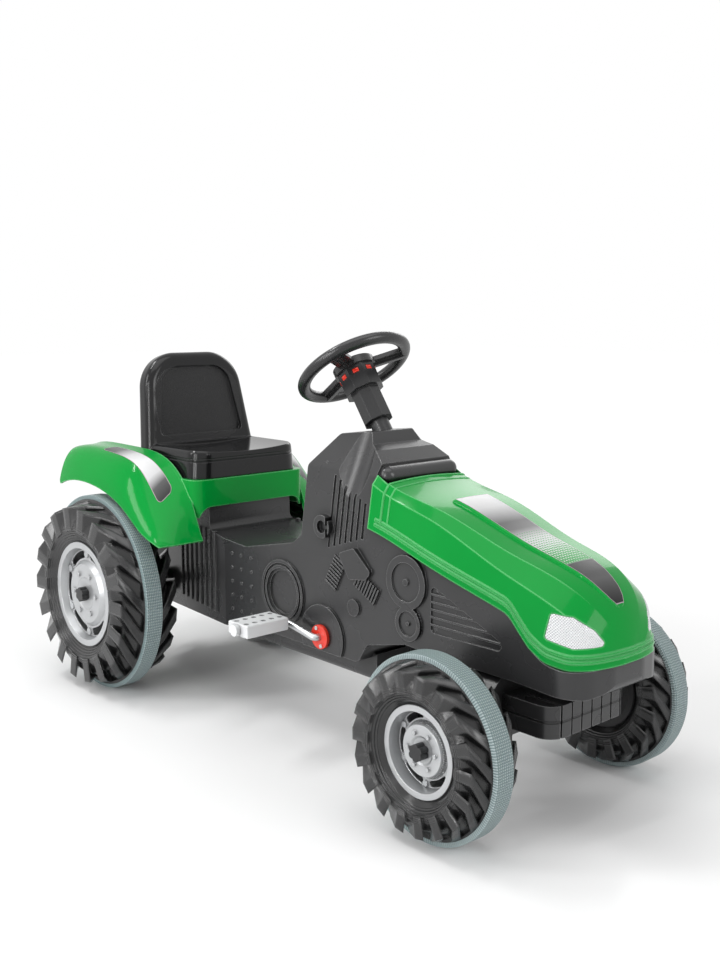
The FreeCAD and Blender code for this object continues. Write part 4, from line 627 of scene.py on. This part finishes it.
screwLook = {"radius": 0.0032, "dome": 0.0012, "slot": 0.0005, "slotShare": 0.7, "depth": 0.0009, "rings": 9,
             "segments": 32, "weld": 1e-6,
             "spots": (((0.0748, -0.0755, 0.4473), (0, -0.85, 0.53)), ((0.3308, -0.095, 0.2951), (0, -1, 0)),
                       ((0.3297, -0.095, 0.2411), (0, -1, 0)))}


def screwPoint(look, radius, angle):
    x, y = radius * math.cos(angle), radius * math.sin(angle)
    height = look["dome"] * (1 - (radius / look["radius"]) ** 2)
    if min(abs(x), abs(y)) < look["slot"] and radius < look["radius"] * look["slotShare"]:
        height -= look["depth"]
    return Vector((x, y, height))


def addScrew(build, look, seat, facing):
    turn = facing.to_track_quat("Z", "Y")
    rings = []
    for ring in range(look["rings"] + 1):
        radius = look["radius"] * ring / look["rings"]
        angles = [2 * math.pi * step / look["segments"] for step in range(look["segments"])]
        rings.append([build.verts.new(seat + turn @ screwPoint(look, radius, angle)) for angle in angles])
    for first, second in zip(rings, rings[1:]):
        for step in range(look["segments"]):
            after = (step + 1) % look["segments"]
            build.faces.new((first[step], second[step], second[after], first[after])).smooth = True


def makeScrews(look):
    build = bmesh.new()
    for spot, facing in look["spots"]:
        for side in (1, -1):
            mirror = Vector((1, side, 1))
            addScrew(build, look, Vector(spot) * mirror, Vector(facing) * mirror)
    bmesh.ops.remove_doubles(build, verts=build.verts, dist=look["weld"])
    piece = makePiece("bodyScrews", build, bodyBlack)
    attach(piece, "frame")


makeScrews(screwLook)
print("screws set")


# red tabs that fill the windows of the steering collar

tabLook = {"centre": (0.053, 0, 0.587), "tilt": 35.4, "count": 8, "drop": (0.0125, 0.0195), "half": 0.005,
           "reach": (0.0205, 0.0301), "round": 0.001, "segments": 3}


def makeTabs(look):
    build = bmesh.new()
    (near, far), (top, foot) = look["reach"], look["drop"]
    column = Matrix.Translation(look["centre"]) @ Matrix.Rotation(math.radians(-look["tilt"]), 4, "Y")
    middle = Matrix.Translation(((near + far) / 2, 0, -(top + foot) / 2))
    size = Matrix.Diagonal((far - near, 2 * look["half"], foot - top, 1))
    for step in range(look["count"]):
        turn = Matrix.Rotation(2 * math.pi * step / look["count"], 4, "Z")
        bmesh.ops.create_cube(build, size=1, matrix=column @ turn @ middle @ size)
    bmesh.ops.bevel(build, geom=build.edges[:], offset=look["round"], segments=look["segments"], profile=0.5,
                    affect="EDGES")
    for face in build.faces:
        face.smooth = True
    piece = makePiece("collarTabs", build, flangeRed)
    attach(piece, "steering")


makeTabs(tabLook)
print("tabs set")


# stage, light and camera

stageLook = {"floor": (0.96, 0.96, 0.96), "floorSize": 30.0, "roughness": 0.9, "specular": 0.1,
             "worldStrength": 0.42, "fade": (0.62, 1.2)}


def seenDirectly(tree):
    # one for the camera and for what mirrors and clear things show
    rays = put(tree, "ShaderNodeLightPath").outputs
    seen = calc(tree, "MAXIMUM", rays["Is Camera Ray"], rays["Is Glossy Ray"])
    return calc(tree, "MAXIMUM", seen, rays["Is Transmission Ray"])


def makeFloor(look):
    # pale floor that keeps the shadow and turns white away from the part
    half = look["floorSize"] / 2
    corners = [(-half, -half, 0), (half, -half, 0), (half, half, 0), (-half, half, 0)]
    mesh = bpy.data.meshes.new("paleFloor")
    mesh.from_pydata(corners, [], [(0, 1, 2, 3)])
    floor = bpy.data.objects.new("paleFloor", mesh)
    bpy.context.scene.collection.objects.link(floor)
    material = bpy.data.materials.new("paleFloor")
    material.use_nodes = True
    tree = material.node_tree
    axes = objectAxes(tree)
    far = ramp(tree, hypot(tree, axes[0], axes[1]), *look["fade"])
    far = calc(tree, "MULTIPLY", far, seenDirectly(tree))
    feed(tree, tree.nodes["Principled BSDF"],
         {"Base Color": blendColors(tree, far, (*look["floor"], 1), (0, 0, 0, 1)),
          "Emission Color": blendColors(tree, far, (0, 0, 0, 1), (1, 1, 1, 1)), "Emission Strength": 1.0,
          "Roughness": look["roughness"], "Specular IOR Level": look["specular"]})
    mesh.materials.append(material)


def makeRoom(look):
    world = bpy.data.worlds.new("paleRoom")
    world.use_nodes = True
    bpy.context.scene.world = world
    tree = world.node_tree
    strength = put(tree, "ShaderNodeMapRange", {"Value": seenDirectly(tree), "To Min": look["worldStrength"],
                                                "To Max": 1.0})
    feed(tree, tree.nodes["Background"], {"Color": (1, 1, 1, 1), "Strength": strength.outputs[0]})


studioLamps = {
    "softTop": {"spot": (0.3, -0.3, 2.6), "aim": (0, 0, 0.2), "size": (2.2, 1.6), "power": 18.0},
    "softLeft": {"spot": (-1.2, -2.4, 1.7), "aim": (0, 0, 0.35), "size": (0.45, 1.4), "power": 19.0},
    "softBack": {"spot": (-1.3, 2.6, 1.9), "aim": (0, 0, 0.35), "size": (2.0, 1.0), "power": 18.0},
    "stripLeft": {"spot": (0.1, -3.0, 1.1), "aim": (0, 0, 0.35), "size": (0.1, 1.9), "power": 20.0},
    "stripRight": {"spot": (0.8, -3.0, 1.1), "aim": (0, 0, 0.35), "size": (0.1, 1.9), "power": 20.0},
    "streakTop": {"spot": (-1.1, -0.75, 2.3), "aim": (0.3, -0.1, 0.4), "size": (0.9, 0.1), "power": 12.0},
    "softFront": {"spot": (2.9, 0.6, 1.5), "aim": (0.1, 0, 0.3), "size": (1.4, 1.2), "power": 24.0}}


def makeLamp(name, look):
    lamp = bpy.data.lights.new(name, "AREA")
    lamp.shape = "RECTANGLE"
    lamp.size, lamp.size_y = look["size"]
    lamp.energy = look["power"]
    holder = bpy.data.objects.new(name, lamp)
    bpy.context.scene.collection.objects.link(holder)
    holder.location = look["spot"]
    beam = Vector(look["aim"]) - Vector(look["spot"])
    holder.rotation_euler = beam.to_track_quat("-Z", "Y").to_euler()


makeFloor(stageLook)
makeRoom(stageLook)
for name, look in studioLamps.items():
    makeLamp(name, look)

cameraLook = {"spot": (1.3657, -1.1613, 0.6747), "turn": 48.215, "rise": 8.610, "focalPixels": 1111.05,
              "framePixels": 960.0, "sensor": 36.0}


def makeCamera(look):
    turn, rise = math.radians(look["turn"]), math.radians(look["rise"])
    back = Vector((math.sin(turn) * math.cos(rise), -math.cos(turn) * math.cos(rise), math.sin(rise)))
    right = Vector((math.cos(turn), math.sin(turn), 0))
    camera = bpy.data.cameras.new("photoCamera")
    camera.sensor_width = look["sensor"]
    camera.lens = look["focalPixels"] * look["sensor"] / look["framePixels"]
    holder = bpy.data.objects.new("photoCamera", camera)
    bpy.context.scene.collection.objects.link(holder)
    facing = Matrix((right, back.cross(right), back)).transposed().to_4x4()
    holder.matrix_world = Matrix.Translation(look["spot"]) @ facing
    bpy.context.scene.camera = holder


makeCamera(cameraLook)
bpy.context.scene.view_settings.view_transform = "Standard"
print("stage, light and camera set")
